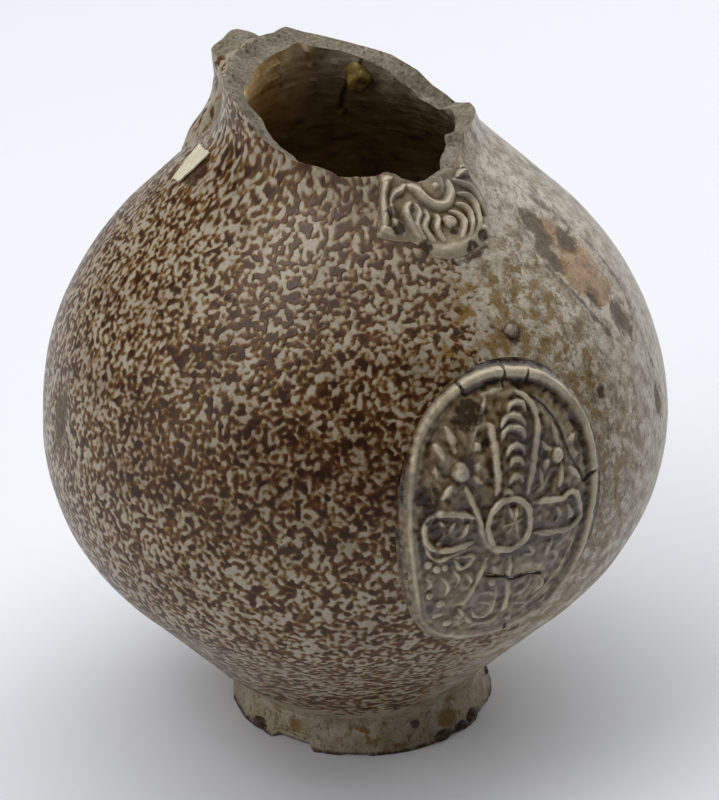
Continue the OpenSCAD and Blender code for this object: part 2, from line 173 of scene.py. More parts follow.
def close_up(obj):
    """Merges what lies together, turns the faces outwards and leaves edit mode."""
    bpy.ops.mesh.select_all(action="SELECT")
    bpy.ops.mesh.remove_doubles(threshold=0.0005 * mm)
    bpy.ops.mesh.normals_make_consistent(inside=False)
    bpy.ops.object.mode_set(mode="OBJECT")
    return obj


def get_points(obj):
    co = np.empty(len(obj.data.vertices) * 3, np.float32)
    obj.data.vertices.foreach_get("co", co)
    return co.reshape(-1, 3).astype(float) / mm


def set_points(obj, co):
    obj.data.vertices.foreach_set("co", (np.asarray(co) * mm).astype(np.float32).ravel())
    obj.data.update()


def paint(obj, **layers):
    for name, values in layers.items():
        layer = obj.data.attributes.new(name, "FLOAT", "POINT")
        layer.data.foreach_set("value", np.asarray(values, np.float32))


def lumps(co, size, seed=0):
    """Smooth noise from about -1 to 1 at each point, with lumps of the given size in millimetres."""
    shift = Vector((1.3 * seed, 3.1 * seed, 7.7 * seed))
    return np.array([noise.noise(Vector(p) / size + shift) for p in co])


def rough(co, layers):
    """Noise in layers of height, size and seed."""
    return sum(height * lumps(co, size, seed) for height, size, seed in layers)


def ease(x, low, high):
    t = np.clip((x - low) / (high - low), 0, 1)
    return t * t * (3 - 2 * t)


def side_of(co):
    return np.degrees(np.arctan2(co[:, 0], -co[:, 1]))


# %% [markdown]
# A hand-thrown jug is never quite true. Here the foot stands a little to the right of the belly and the neck a
# little to the left, as the picture shows, and the wall is out of round by half a millimetre. Every finished
# piece goes through this same settling, so that all stay together.

# %% Settle a finished piece and hand it over to the frame
lean_heights = [0, 6, 16, 45, 80, 120, 150, 172]
lean_to_right = [1.5, 1.3, -1.6, -1, 0, -0.8, -1.7, -1.9]


def settle(obj):
    co = get_points(obj)
    co[:, :2] += np.outer(np.interp(co[:, 2], lean_heights, lean_to_right), camera_right[:2])
    set_points(obj, co)


def hand_over(obj, node, angle=35):
    settle(obj)
    pick(obj)
    bpy.ops.object.shade_smooth_by_angle(angle=math.radians(angle))
    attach(obj, "root")
    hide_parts(node)
    print(obj.name, "stands for", node, "with", len(obj.data.polygons), "faces")


# %% [markdown]
# ## Finishes
#
# A shader is a small network of nodes. One function adds a node, sets it up and plugs it into others, so each
# finish below reads like a recipe. Colours are written as on a paint chart and turned into the linear values that
# light works with. Patterns are scaled in millimetres: a noise with a grain of 1.4 mm has a scale of 1 / 1.4 on
# coordinates in millimetres. Sockets are filled in their order or by name: a range node takes its value, the two
# ends it comes from and the two ends it goes to.

# %% Helpers for finishes
def linear(code):
    parts = [int(code[k:k + 2], 16) / 255 for k in (1, 3, 5)]
    return [c / 12.92 if c < 0.04045 else ((c + 0.055) / 1.055) ** 2.4 for c in parts] + [1]


def plug(node, sockets):
    """Fills sockets, in their order or by name, with a value, a colour code, a node or one of its outputs."""
    for key, value in sockets.items() if isinstance(sockets, dict) else enumerate(sockets):
        if isinstance(key, int):
            to = node.inputs[key]
        else:
            to = next(s for s in node.inputs if s.name == key and s.enabled)
        if isinstance(value, bpy.types.Node):
            value = next(s for s in value.outputs if s.enabled)
        if isinstance(value, bpy.types.NodeSocket):
            node.id_data.links.new(value, to)
        else:
            to.default_value = linear(value) if isinstance(value, str) else value


def add_node(tree, kind, sockets=(), stops=(), **settings):
    """Adds a node with its settings and sockets. A ramp also takes stops of place and colour."""
    node = tree.nodes.new("ShaderNode" + kind)
    for name, value in settings.items():
        setattr(node, name, value)
    plug(node, sockets)
    for k, (place, code) in enumerate(stops):
        ramp = node.color_ramp.elements
        mark = ramp[k] if k < 2 else ramp.new(place)
        mark.position, mark.color = place, linear(code)
    return node


def new_finish(name, roughness, gloss=0.28):
    """A new material, what adds nodes to it, its shader, and the place on the object in millimetres."""
    material = bpy.data.materials.new(name)
    material.use_nodes = True
    add = partial(add_node, material.node_tree)
    shader = material.node_tree.nodes["Principled BSDF"]
    plug(shader, {"Roughness": roughness, "Specular IOR Level": gloss})
    place = add("TexCoord").outputs["Object"]
    at = add("VectorMath", [place, (1 / mm,) * 3], operation="MULTIPLY")
    return material, add, shader, at


# %% [markdown]
# ### Tiger glaze
#
# Salt thrown into the kiln turns to vapour and settles on the clay as a thin glass. Over a brown iron wash the
# glass crawls into beads, which gives the brown spots and pale veins that collectors call tiger ware. The spots
# here come from a smooth noise of 1.4 mm with ragged edges, drawn together round soft cells 3.2 mm apart that
# hold the dark cores. A slow noise makes them crowd in some places, and near the foot they are wider. A value
# painted on the points says how much iron wash each side of the jug has: where it fades, the spots thin out.

# %% The spots of the glaze
def tiger_spots(add, at, xyz, wash):
    # To the eye: brown beads with dark cores and soft edges, and warm grey veins between them
    up = xyz.outputs["Z"]
    drawn = add("MapRange", [up, 140, 158, 0, -8])
    drawn = add("CombineXYZ", {"Z": drawn})
    wider = add("MapRange", [up, 46, 12, 1, 0.62])
    wider = add("CombineXYZ", {"X": wider, "Y": wider, "Z": 1.0})
    run = add("VectorMath", [at, wider, drawn], operation="MULTIPLY_ADD")
    drift = add("TexNoise", {"Vector": run, "Scale": 1 / 3, "Detail": 1}).outputs["Color"]
    bend = add("VectorMath", [drift, (1.1,) * 3, run], operation="MULTIPLY_ADD")

    field = add("TexNoise", {"Vector": bend, "Scale": 1 / 1.4, "Detail": 0.5, "Roughness": 0.5})
    ragged = add("TexNoise", {"Vector": at, "Scale": 1 / 0.6, "Detail": 1})
    crowd = add("TexNoise", {"Vector": run, "Scale": 1 / 16, "Detail": 2})
    cells = add("TexVoronoi", {"Vector": bend, "Scale": 1 / 3.2})
    dots = add("Math", [ragged, 0.3, cells], operation="MULTIPLY_ADD")
    for layer, share in ((ragged, 0.12), (crowd, 0.09), (wash, 0.32), (dots, -0.2)):
        field = add("Math", [layer, share, field], operation="MULTIPLY_ADD")
    field = add("Math", [field, 0.29], operation="SUBTRACT")
    glaze = add("ValToRGB", {"Fac": field}, stops=[
        (0.34, "#9f9584"), (0.42, "#908570"), (0.47, "#80683e"), (0.53, "#694821"), (0.61, "#523212"),
        (0.74, "#3a1f08")])
    cores = add("MapRange", [dots, 0.64, 0.4, 0, 0.85])
    browned = add("MapRange", [field, 0.47, 0.56])
    cores = add("Math", [cores, browned], operation="MULTIPLY")
    glaze = add("Mix", {"Factor": cores, "A": glaze, "B": "#2e1604"}, data_type="RGBA")
    return glaze, field, bend


# %% [markdown]
# Two veils lie over the spots. The belly has the thickest wash, and a brown film in patches darkens its pale
# veins; round the middle of the belly that darkening is partly painted shade. High on the front of the shoulder
# lies a painted sheen: the darkest browns turn grey there, and all of it is lighter.

# %% The film and painted shade on the belly and the painted sheen on the shoulder
sheen_most = 0.6


def film_shade_and_sheen(add, glaze, at, xyz, wash):
    # To the eye: a warm, uneven stain round the belly, partly painted shade, and a painted grey sheen high up at
    # the front
    # The film is partly real and partly painted shade round the middle of the belly
    film = add("TexNoise", {"Vector": at, "Scale": 1 / 14, "Detail": 2})
    film = add("Math", [wash, 1.2, film], operation="MULTIPLY_ADD")
    film = add("MapRange", [film, 1.65, 2.15, 0, 0.7])
    # Painted sheen: high on the front shoulder, the darkest browns turn grey and all of it is lighter
    shoulder_sheen = add("MapRange", [xyz.outputs["Z"], 122, 144, 0, sheen_most])
    front = add("MapRange", [xyz.outputs["Y"], -14, -27])
    shoulder_sheen = add("Math", [shoulder_sheen, front], operation="MULTIPLY")
    for veil, colour, way in ((film, "#a07c4c", "MULTIPLY"), (shoulder_sheen, "#66574d", "LIGHTEN")):
        glaze = add("Mix", {"Factor": veil, "A": glaze, "B": colour}, data_type="RGBA", blend_type=way)
    sheen = add("MapRange", [shoulder_sheen, 0, sheen_most, 1, 1.22])
    return add("VectorMath", [glaze, sheen], operation="MULTIPLY")


# %% [markdown]
# Where no wash was laid, the clear glass shows the grey clay. It hangs in fine runs at the far right and in
# clouds elsewhere, and it is yellower at the foot.

# %% The bare side
def bare_side(add, glaze, at, xyz, wash):
    # To the eye: pale grey with streaks of olive brown, like a thin varnish
    runs = add("Mapping", {"Vector": at, "Scale": (0.75, 0.75, 0.13)})
    runs = add("TexNoise", {"Vector": runs, "Scale": 1, "Detail": 3, "Roughness": 0.65})
    clouds = add("TexNoise", {"Vector": at, "Scale": 1 / 4, "Detail": 4, "Roughness": 0.6})
    right = add("MapRange", [xyz.outputs["X"], 42, 62, 0, 0.8])
    runs = add("Mix", {"Factor": right, "A": clouds, "B": runs})
    pale = add("ValToRGB", {"Fac": runs}, stops=[(0.33, "#5f4d2e"), (0.45, "#978c75"), (0.58, "#c4bba9")])
    foot_part = add("MapRange", [xyz.outputs["Z"], 18, 9, 0, 0.6])
    pale = add("Mix", {"Factor": foot_part, "A": pale, "B": "#877b57"}, data_type="RGBA")
    bare = add("MapRange", [wash, 0.55, 0.05, 0, 0.75])
    return add("Mix", {"Factor": bare, "A": glaze, "B": pale}, data_type="RGBA"), bare


# %% [markdown]
# Ochre flecks lie where the wash thins out. Stains, rust and bare kiln scars are painted as soft patches, and one
# ragged noise eats into the edge of each, so that none of them looks sprayed on.

# %% Flecks, stains, rust and scars
def kiln_marks(add, glaze, at, bend):
    # To the eye: dull, crumbly patches and brown specks that interrupt the gloss
    ochre = add("Attribute", attribute_name="ochre").outputs["Fac"]
    flecks = add("TexNoise", {"Vector": bend, "Scale": 1 / 3.2, "Detail": 3, "Roughness": 0.6})
    flecks = add("MapRange", [flecks, 0.47, 0.57, 0, 0.9])
    flecks = add("Math", [flecks, ochre], operation="MULTIPLY")
    glaze = add("Mix", {"Factor": flecks, "A": glaze, "B": "#795b22"}, data_type="RGBA")

    ragged = add("TexNoise", {"Vector": at, "Scale": 1 / 1.8, "Detail": 4, "Roughness": 0.65})
    patchy = add("ValToRGB", {"Fac": ragged}, stops=[(0.35, "#4a443b"), (0.65, "#736855")])
    rusty = add("TexNoise", {"Vector": at, "Scale": 1 / 3.5, "Detail": 5, "Roughness": 0.7})
    rusty = add("ValToRGB", {"Fac": rusty}, stops=[
        (0.36, "#5e421f"), (0.47, "#8a602f"), (0.56, "#98743d"), (0.68, "#827354")])
    for name, colour in (("stain", "#3a220f"), ("rust", rusty), ("scar", patchy)):
        mark = add("Attribute", attribute_name=name).outputs["Fac"]
        mark = add("Math", [ragged, 1.6, mark], operation="MULTIPLY_ADD")
        mark = add("MapRange", [mark, 1.2, 1.55, 0, 0.9])
        glaze = add("Mix", {"Factor": mark, "A": glaze, "B": colour}, data_type="RGBA")
    return glaze, mark


# %% [markdown]
# Now the layers are put together. Brown specks and a fine grain break up what is left of flat colour. The beads
# of brown stand a little above the veins and the glass is dimpled like the peel of an orange. Both are a tenth or
# two of a millimetre high, too fine for the mesh, so they are bumps.

# %% Salt-glazed stoneware
def salt_glaze():
    # To the eye: a tight glassy skin with small soft lights, dull only where a scar left the clay bare
    material, add, shader, at = new_finish("salt_glazed_stoneware", 0.36, 0.27)
    wash = add("Attribute", attribute_name="wash").outputs["Fac"]
    xyz = add("SeparateXYZ", [at])
    glaze, field, bend = tiger_spots(add, at, xyz, wash)
    glaze = film_shade_and_sheen(add, glaze, at, xyz, wash)
    glaze, bare = bare_side(add, glaze, at, xyz, wash)
    glaze, scar = kiln_marks(add, glaze, at, bend)
    dull = add("MapRange", [scar, 0, 1, 0.36, 0.8])

    specks = add("Mapping", {"Vector": at, "Scale": (0.8, 0.8, 0.45)})
    specks = add("TexNoise", {"Vector": specks, "Scale": 1, "Detail": 3, "Roughness": 0.6})
    specks = add("MapRange", [specks, 0.55, 0.65, 0, 0.9])
    specks = add("Math", [specks, bare], operation="MULTIPLY")
    glaze = add("Mix", {"Factor": specks, "A": glaze, "B": "#57462c"}, data_type="RGBA")
    grain = add("TexNoise", {"Vector": at, "Scale": 1 / 0.5, "Detail": 2})
    grain = add("MapRange", [grain, 0.3, 0.7, 0.84, 1.12])
    glaze = add("VectorMath", [glaze, grain], operation="MULTIPLY")
    beads = add("MapRange", [field, 0.42, 0.62], interpolation_type="SMOOTHSTEP")
    peel = add("TexNoise", {"Vector": at, "Scale": 1 / 1.1, "Detail": 2})
    bump = add("Bump", {"Height": beads, "Strength": 1.0, "Distance": 0.22 * mm})
    bump = add("Bump", {"Height": peel, "Strength": 1.0, "Distance": 0.12 * mm, "Normal": bump})
    plug(shader, {"Base Color": glaze, "Roughness": dull, "Normal": bump})
    return material


tiger_glaze = salt_glaze()
print(tiger_glaze.name, "has", len(tiger_glaze.node_tree.nodes), "nodes")

# %% [markdown]
# ### Broken and washed clay
#
# A fresh break in stoneware is pale, matt and grainy, with small dark holes where gas was trapped. A fine noise
# gives the grain, as colour and as bump, and cells give the holes.

# %% Broken stoneware
def broken_clay():
    # To the eye: dry and matt like coarse sandstone, with no shine at all
    material, add, shader, at = new_finish("broken_stoneware", 0.9)
    grains = add("TexNoise", {"Vector": at, "Scale": 1 / 0.9, "Detail": 5, "Roughness": 0.7})
    patches = add("TexNoise", {"Vector": at, "Scale": 1 / 6, "Detail": 2})
    mixed = add("Math", [patches, 0.5, grains], operation="MULTIPLY_ADD")
    clay = add("ValToRGB", {"Fac": mixed}, stops=[
        (0.55, "#4e4532"), (0.66, "#736a57"), (0.78, "#867e6d"), (0.92, "#9b9384")])
    holes = add("TexVoronoi", {"Vector": at, "Scale": 1 / 2.1})
    holes = add("MapRange", [holes, 0.1, 0.2])
    clay = add("Mix", {"Factor": holes, "A": "#55493a", "B": clay}, data_type="RGBA")
    bump = add("Bump", {"Height": grains, "Strength": 1.0, "Distance": 0.7 * mm})
    plug(shader, {"Base Color": clay, "Normal": bump})
    return material


bare_clay = broken_clay()
print(bare_clay.name, "has", len(bare_clay.node_tree.nodes), "nodes")

# %% [markdown]
# Inside, the clay only wears a thin wash, brown on the side that faced the fire and grey on the other. The brown
# left wall is also painted much lighter, as painted light, and the grey right wall darker, as painted shade. Its
# rings come from a noise that only knows the height, so it is the same all round.

# %% Washed clay of the inside
def inner_wash():
    # To the eye: a thin, dull skin over throwing rings, golden brown and painted light at left, grey and painted
    # shade at right
    material, add, shader, at = new_finish("washed_stoneware", 0.6)
    xyz = add("SeparateXYZ", [at])
    rings = add("CombineXYZ", {"Z": xyz.outputs["Z"]})
    rings = add("TexNoise", {"Vector": rings, "Scale": 1 / 1.3, "Detail": 3})
    blotches = add("TexNoise", {"Vector": at, "Scale": 1 / 5, "Detail": 5, "Roughness": 0.65})
    tone = add("Math", [rings, 0.4, blotches], operation="MULTIPLY_ADD")
    # Painted light and shade: the brown left wall is made much lighter, the grey right wall darker
    lit_brown = add("ValToRGB", {"Fac": tone}, stops=[(0.5, "#b48d54"), (0.7, "#ecc27e"), (0.9, "#f4e0b8")])
    shaded_grey = add("ValToRGB", {"Fac": tone}, stops=[(0.5, "#5a503f"), (0.7, "#8f846d"), (0.9, "#a89f8c")])
    across = add("MapRange", [xyz.outputs["X"], -12, 6])
    clay = add("Mix", {"Factor": across, "A": lit_brown, "B": shaded_grey}, data_type="RGBA")
    crack = add("Attribute", attribute_name="crack").outputs["Fac"]
    clay = add("Mix", {"Factor": crack, "A": clay, "B": "#2a1d12"}, data_type="RGBA")
    bump = add("Bump", {"Height": tone, "Strength": 1.0, "Distance": 0.6 * mm})
    plug(shader, {"Base Color": clay, "Normal": bump})
    return material


washed_clay = inner_wash()
print(washed_clay.name, "has", len(washed_clay.node_tree.nodes), "nodes")

# %% [markdown]
# ### Pressed clay
#
# The medallion and the beard were pressed in a mould and stuck on with slip before firing. Glaze is thin and pale
# on their ridges and runs into the hollows, where it is thick and brown. Two painted values carry that: how high
# a point stands above its surroundings, and how much brown wash it caught. The lighter crests are partly painted
# highlight as well.

# %% Pressed stoneware
def pressed_clay():
    # To the eye: wet-looking lights on pale worn ridges, partly painted highlight, and dark brown pools between
    # them
    material, add, shader, at = new_finish("pressed_stoneware", 0.32, 0.5)
    height = add("Attribute", attribute_name="height").outputs["Fac"]
    wash = add("Attribute", attribute_name="wash").outputs["Fac"]
    blotch = add("TexNoise", {"Vector": at, "Scale": 1 / 2.2, "Detail": 4, "Roughness": 0.6})
    # The height value lightens the crests: partly thin glaze, partly painted highlight
    level = add("Math", [blotch, 0.35, height], operation="MULTIPLY_ADD")
    clay = add("ValToRGB", {"Fac": level}, stops=[
        (0.28, "#1f1003"), (0.42, "#45300f"), (0.55, "#6d5b3c"), (0.74, "#958669"), (1, "#beb196")])
    film = add("TexNoise", {"Vector": at, "Scale": 1 / 9, "Detail": 3})
    film = add("MapRange", [film, 0.48, 0.62, 0, 0.4])
    pools = add("Math", [blotch, wash], operation="MULTIPLY")
    pools = add("MapRange", [pools, 0.4, 0.58, 0, 0.9])
    for layer, colour in ((film, "#68605f"), (pools, "#2c190b")):
        clay = add("Mix", {"Factor": layer, "A": clay, "B": colour}, data_type="RGBA")
    grain = add("TexNoise", {"Vector": at, "Scale": 1 / 0.5, "Detail": 2})
    grain = add("MapRange", [grain, 0.3, 0.7, 0.86, 1.12])
    clay = add("VectorMath", [clay, grain], operation="MULTIPLY")
    peel = add("TexNoise", {"Vector": at, "Scale": 1 / 1.2, "Detail": 2})
    bump = add("Bump", {"Height": peel, "Strength": 1.0, "Distance": 0.2 * mm})
    plug(shader, {"Base Color": clay, "Normal": bump})
    return material


sprig_clay = pressed_clay()
print(sprig_clay.name, "has", len(sprig_clay.node_tree.nodes), "nodes")

# %% [markdown]
# ### What sticks to the jug
#
# Four small finishes remain: a thick drop of brown glass, old yellowed glue, aged paper, and the dark kiln sand
# that fused to the foot.

# %% Glass drop, glue, paper and grit
def speckled(name, roughness, size, stops, depth):
    """A finish with one mottled colour and a bump, both at a grain size in millimetres."""
    material, add, shader, at = new_finish(name, roughness)
    mottle = add("TexNoise", {"Vector": at, "Scale": 1 / size, "Detail": 5, "Roughness": 0.6})
    height = add("Attribute", attribute_name="height").outputs["Fac"]
    tone = add("Math", [mottle, height], operation="ADD")
    colour = add("ValToRGB", {"Fac": tone}, stops=stops)
    bump = add("Bump", {"Height": mottle, "Strength": 1.0, "Distance": depth * mm})
    plug(shader, {"Base Color": colour, "Normal": bump})
    return material


# To the eye: a dark, wet bead with one sharp light
glass_drop = speckled("pooled_glaze", 0.15, 1.8, [(0.35, "#33241a"), (0.55, "#5c4c3b"), (0.7, "#8d8271")], 0.05)
# To the eye: cloudy yellow lumps with a dull, greasy shine
old_glue = speckled("old_adhesive", 0.45, 1.6, [(0.35, "#4a3b1c"), (0.5, "#75622f"), (0.68, "#97834c")], 0.3)
# To the eye: flat, fibrous and off-white
old_paper = speckled("aged_paper", 0.85, 1.2, [(0.35, "#bdb39a"), (0.55, "#cfc6b0"), (0.7, "#dad3c2")], 0.06)
# To the eye: dark, rough grains without shine
kiln_sand = speckled("kiln_grit", 0.7, 0.9, [(0.35, "#2a1f15"), (0.5, "#46382a"), (0.68, "#6f5f4a")], 0.3)
print("finishes:", ", ".join(sorted(m.name for m in bpy.data.materials if m.use_nodes)))

# %% [markdown]
# ## The broken rim
#
# The neck is snapped off. Its break is high at the back left, low at the front, with a step at the right and a
# deep notch at the rear right where a refitted sherd begins. It is written as a few points of side and height.
# The inner edge of the break lies a little lower than the outer one.

# %% The line of the break
break_line = [(-180, 167.6), (-160, 168.8), (-130, 168.6), (-105, 167.5), (-88, 166), (-82, 164), (-69, 160.2),
              (-60, 159), (-55, 157.7), (-46, 157.3), (-38, 156.3), (-34, 155.3), (-29, 155.1), (-17.5, 155.1),
              (-14, 155.7), (-11.5, 155.5), (-8.7, 154.9), (-7, 154), (-4, 153.3), (-1, 152.6), (1, 152.1),
              (4.5, 152.5), (9, 152.2), (13, 152.5), (21, 152.6), (23.5, 153.7), (26, 154.6), (32.5, 156.2),
              (35.5, 158.2), (43, 158.2), (60, 157.4), (80, 155), (100, 149.8), (103, 151.5), (110, 153.2),
              (116, 156.5), (129, 159.4), (145, 161.2), (157, 163), (171, 165.4), (180, 167.6)]
break_fall = [(-180, 2.3), (-145, 4), (-100, 3.5), (-60, 2.8), (0, 2.8), (17, 2.2), (33, 1.5), (44, 3.4), (68, 2),
              (92, 0.2), (101, 0), (116, 2.8), (135, 1), (155, 0.6), (180, 2.3)]


def break_z(side):
    return np.interp(side, *zip(*break_line))


def inner_break_z(side):
    return break_z(side) - np.interp(side, *zip(*break_fall))


# %% [markdown]
# ## Throwing the jug
#
# A lathe shape starts as a chain of edges: over the foot, up the outer wall, across the break, down the inner
# wall and over the floor. Extruding one vertex along that chain and spinning it gives a closed vessel whose rings
# are easy to find again, so the clay can then be pushed about ring by ring.

# %% Draw the half section and spin it
foot_rows, break_rows, inner_rows = 17, 11, 110
wall_step = 1.4
spin_steps = 360
spun_top, floor_corner = 168, 2
top_rise = float(rise_at(spun_top))
inner_low = float(rise_at(floor_t + floor_corner, -wall_t))
outer_s = np.linspace(waist_rise, top_rise, int((top_rise - waist_rise) / wall_step))
inner_s = np.linspace(top_rise, inner_low, inner_rows)
UNDERSIDE, FOOT, OUTER, BREAK, INNER, FLOOR = range(6)


def section(s, off=0.0):
    return on_wall(90, s, off)[..., [0, 2]]


def foot_profile(t):
    """The foot, from its lower edge at t = 0 to its waist at t = 1."""
    return np.array([foot_r - (foot_r - waist_r) * t ** 0.8, foot_h * t])


under_rings, floor_rings = (0, 0.3, 0.6, 0.8, 0.92), (0.9, 0.75, 0.5, 0.25, 0)
rows = [(UNDERSIDE, t, np.array([foot_r * t, 0])) for t in under_rings]
rows += [(FOOT, t, foot_profile(t)) for t in np.linspace(0, 1, foot_rows)[:-1]]
rows += [(OUTER, s, section(s)) for s in outer_s]
rim_out, rim_in = section(top_rise), section(top_rise, -wall_t)
rows += [(BREAK, t, rim_out + (rim_in - rim_out) * t) for t in np.linspace(0, 1, break_rows)[1:-1]]
rows += [(INNER, s, section(s, -wall_t)) for s in inner_s]
rows += [(FLOOR, t, np.array([rows[-1][2][0] * t, floor_t])) for t in floor_rings]

bpy.ops.object.select_all(action="DESELECT")
bpy.ops.mesh.primitive_plane_add(size=mm)
jug = bpy.context.object
jug.name = "jug_wall"
edit(jug)
bpy.ops.mesh.merge(type="CENTER")
for (_, _, a), (_, _, b) in zip(rows, rows[1:]):
    step = ((b[0] - a[0]) * mm, 0, (b[1] - a[1]) * mm)
    bpy.ops.mesh.extrude_vertices_move(TRANSFORM_OT_translate={"value": step})
bpy.ops.mesh.select_all(action="SELECT")
bpy.ops.mesh.spin(steps=spin_steps, angle=2 * math.pi, center=(0, 0, 0), axis=(0, 0, 1))
close_up(jug)
print("spun", len(rows), "rows into", len(jug.data.vertices), "points")

# %% [markdown]
# The spun vessel is perfect, and the real one is not. Each point still knows its row, so the upper rows can be
# drawn up or pressed down to the break, the inside gets the ridges that the thrower's fingers left, the foot gets
# its chips, and bare kiln scars are pressed in a little.

# %% Push the clay into shape
true_points = get_points(jug)
outline = np.array([row[2] for row in rows])
reach = np.hypot(true_points[:, 0], true_points[:, 1])
row_of = np.array([np.argmin((outline[:, 0] - r) ** 2 + (outline[:, 1] - z) ** 2)
                   for r, z in zip(reach, true_points[:, 2])])
role = np.array([row[0] for row in rows])[row_of]
along = np.array([row[1] for row in rows], float)[row_of]
side = side_of(true_points)
stretch_from = 66
print("outer points:", int((role == OUTER).sum()), "inner points:", int((role == INNER).sum()))


def to_rim(s, rim_s):
    """Rises above the shoulder, drawn up or pressed down so that the last ring lands on the break."""
    share = (s - stretch_from) / (top_rise - stretch_from)
    return np.where(s > stretch_from, stretch_from + share * (rim_s - stretch_from), s)


# %% [markdown]
# The marks of the kiln are a list of oval patches: where the pot touched its neighbour the clay is bare and
# rusty, and grit outlines those scars. Written as places on the wall, one list serves both the dents and the
# colours.

# %% The marks on the wall
# As side, rise, half-width round the jug and half-height: bare kiln scars, rust, ochre pools and dark stains
scars = [(38, 68.3, 3.6, 4.2), (37, 63.5, 3.5, 3), (45.5, 58.8, 4.2, 3.6), (34, 62.2, 3, 2.8),
         (34, 58, 2.6, 3.4), (43, 37, 4.4, 5), (46, 12.5, 2.8, 4.5), (-99, 13, 4.5, 9), (37.3, 46, 1.6, 3)]
rusts = [(42, 53, 9.5, 8), (42.5, 45.5, 6.5, 4), (36.5, 52.5, 4, 4), (42, 64, 4, 4)]
pools = [(14, 57, 3, 3), (15.5, 52.5, 3, 2.6), (14.8, 46.5, 3, 2.6), (4.8, 46.3, 3, 2), (26.7, 65.5, 2, 3),
         (27.5, 61.5, 2, 2.4), (19, 60.8, 4, 2), (22.6, 51.9, 2.4, 2.6), (20.8, 40.3, 2.4, 2.4),
         (21, 33.8, 3, 2.6), (23.4, 31, 3, 2.6), (24.7, 22, 2.6, 3), (-2, 57, 4, 3), (5, 62, 3, 2.4),
         (-8, 50, 3, 2), (-30, -88.8, 6, 2.2), (-70, -88.6, 6, 2.6), (-14, -91, 3, 1.6), (18, -84, 1.3, 5),
         (14, -89, 4, 2)]
# The first stain lies along the right edge of the paper scrap: a dark patch there
stains = [(-105, 81, 4, 4.5), (62, -86, 2, 2.5), (24.8, 28, 1.4, 2), (-4, -87.6, 1.3, 1), (-62, 60, 2, 1.2),
          (-42, 5, 2.6, 1.2), (8.4, 49.8, 2.4, 2.8)]
# Line of the refitted joint on the inside, as side and rise
inner_crack = [(140, 99), (143.5, 95.4), (150, 90.8), (153, 84), (155, 77)]
# Dark lines of grit along the edges of the scars, as half-width and points of side and rise
grit_lines = [(1.1, [(31, 62), (30, 56), (33, 48), (34, 40), (37, 34)]), (1.3, [(46, 74), (51, 65), (53, 58)]),
              (1.1, [(53, 58), (54, 49), (52, 45), (52.5, 40), (48.6, 34), (43, 32), (39, 33)]),
              (1.2, [(48, 26), (47.7, 18)]), (1.2, [(36, 50), (37.5, 46), (37.8, 42)]),
              (1.2, [(-2, 69.6), (3, 68.8), (8, 68.9), (13, 69.8), (18, 71)])]


def patches(side, s, marks, soft=0.35):
    """Mask of a list of oval patches, with an edge that is soft by a share of their size."""
    mask = np.zeros_like(s)
    for at_side, at_s, half_w, half_h in marks:
        aside = np.radians((side - at_side + 180) % 360 - 180) * skin(s)[0]
        away = np.hypot(aside / half_w, (s - at_s) / half_h)
        mask = np.maximum(mask, ease(away, 1 + soft, 1 - soft))
    return mask


print(len(scars), "scars,", len(rusts), "rusts,", len(pools), "pools,", len(stains), "stains")

# %% [markdown]
# The wall now gets its hand-thrown unevenness, and the break its crumbling grain. Behind, at the side of the
# handle's root, the wall was thicker and broke in two steps, so that part of the break is narrow and glazed on
# its outer side.

# %% Raise the wall to the break
scar_depth = 0.35
wall_swell = [(0.35, 30, 1), (0.12, 9, 2)]
break_grain = [(0.35, 1.3, 3), (0.55, 4, 4)]
finger_depth, finger_step = 0.3, 3.4
root_side, root_ends = -145, (36, 22)
saddle_fall, saddle_share = 1.9, 0.26
thick_root, thick_from, thick_to = 1.6, 14, 2


def unevenness(side, s):
    """How far the hand-thrown wall stands off the true one."""
    return rough(on_wall(side, s), wall_swell)


def on_clay(side, s, off):
    """Points at a height off the uneven wall, for what is stuck on it."""
    return on_wall(side, s, off + unevenness(side, s))


def saddle(side):
    """Where the handle's root ran up to the rim, so that the break is narrow and its outer part glazed."""
    return ease(np.abs(side - root_side), *root_ends)


rim_s = rise_at(break_z(side) - saddle_fall * saddle(side))
rim_in_s = rise_at(inner_break_z(side), -wall_t)
out, mid, inn, foot = role == OUTER, role == BREAK, role == INNER, role == FOOT
shaped = true_points.copy()
rise = to_rim(along, np.where(inn, rim_in_s, rim_s))
uneven = unevenness(side, rise)
dents = scar_depth * patches(side[out], rise[out], scars)
shaped[out] = on_wall(side[out], rise[out], uneven[out] - dents)
fingers = finger_depth * np.sin(rise[inn] / finger_step * 2 * math.pi + np.radians(side[inn]))
thicker = thick_root * saddle(side) * ease(rise, top_rise - thick_from, top_rise - thick_to)
shaped[inn] = on_wall(side[inn], rise[inn], -wall_t - thicker[inn] + uneven[inn] + fingers)

edge_out = on_wall(side[mid], rim_s[mid], uneven[mid])
edge_in = on_wall(side[mid], rim_in_s[mid], -wall_t - thick_root * saddle(side[mid]))
shaped[mid] = edge_out + (edge_in - edge_out) * along[mid][:, None]
on_root = saddle(side[mid]) * ease(along[mid], 0.9, 0.1)
shaped[mid, 2] += saddle_fall * on_root * ease(along[mid], 0, saddle_share)
crumble = rough(shaped[mid], break_grain) * np.sin(np.pi * along[mid]) ** 0.5
shaped[mid, 2] += crumble * (1 - saddle(side[mid]) * (along[mid] < saddle_share))
rim_low = break_z(np.arange(-180, 180)).min()
print("break from", round(shaped[out, 2].max(), 1), "mm down to", round(rim_low, 1), "mm")

# %% [markdown]
# The foot was cut from the wheel with a wire and knocked about since. Chips lift its lower edge and draw it in,
# and the whole foot is a little out of round.

# %% Chip the foot
chip_out, chip_in, chip_grain, chip_reach, chip_inwards, chip_fade = 2, 1, 0.25, 1.2, 0.5, 3
foot_swell = 0.012
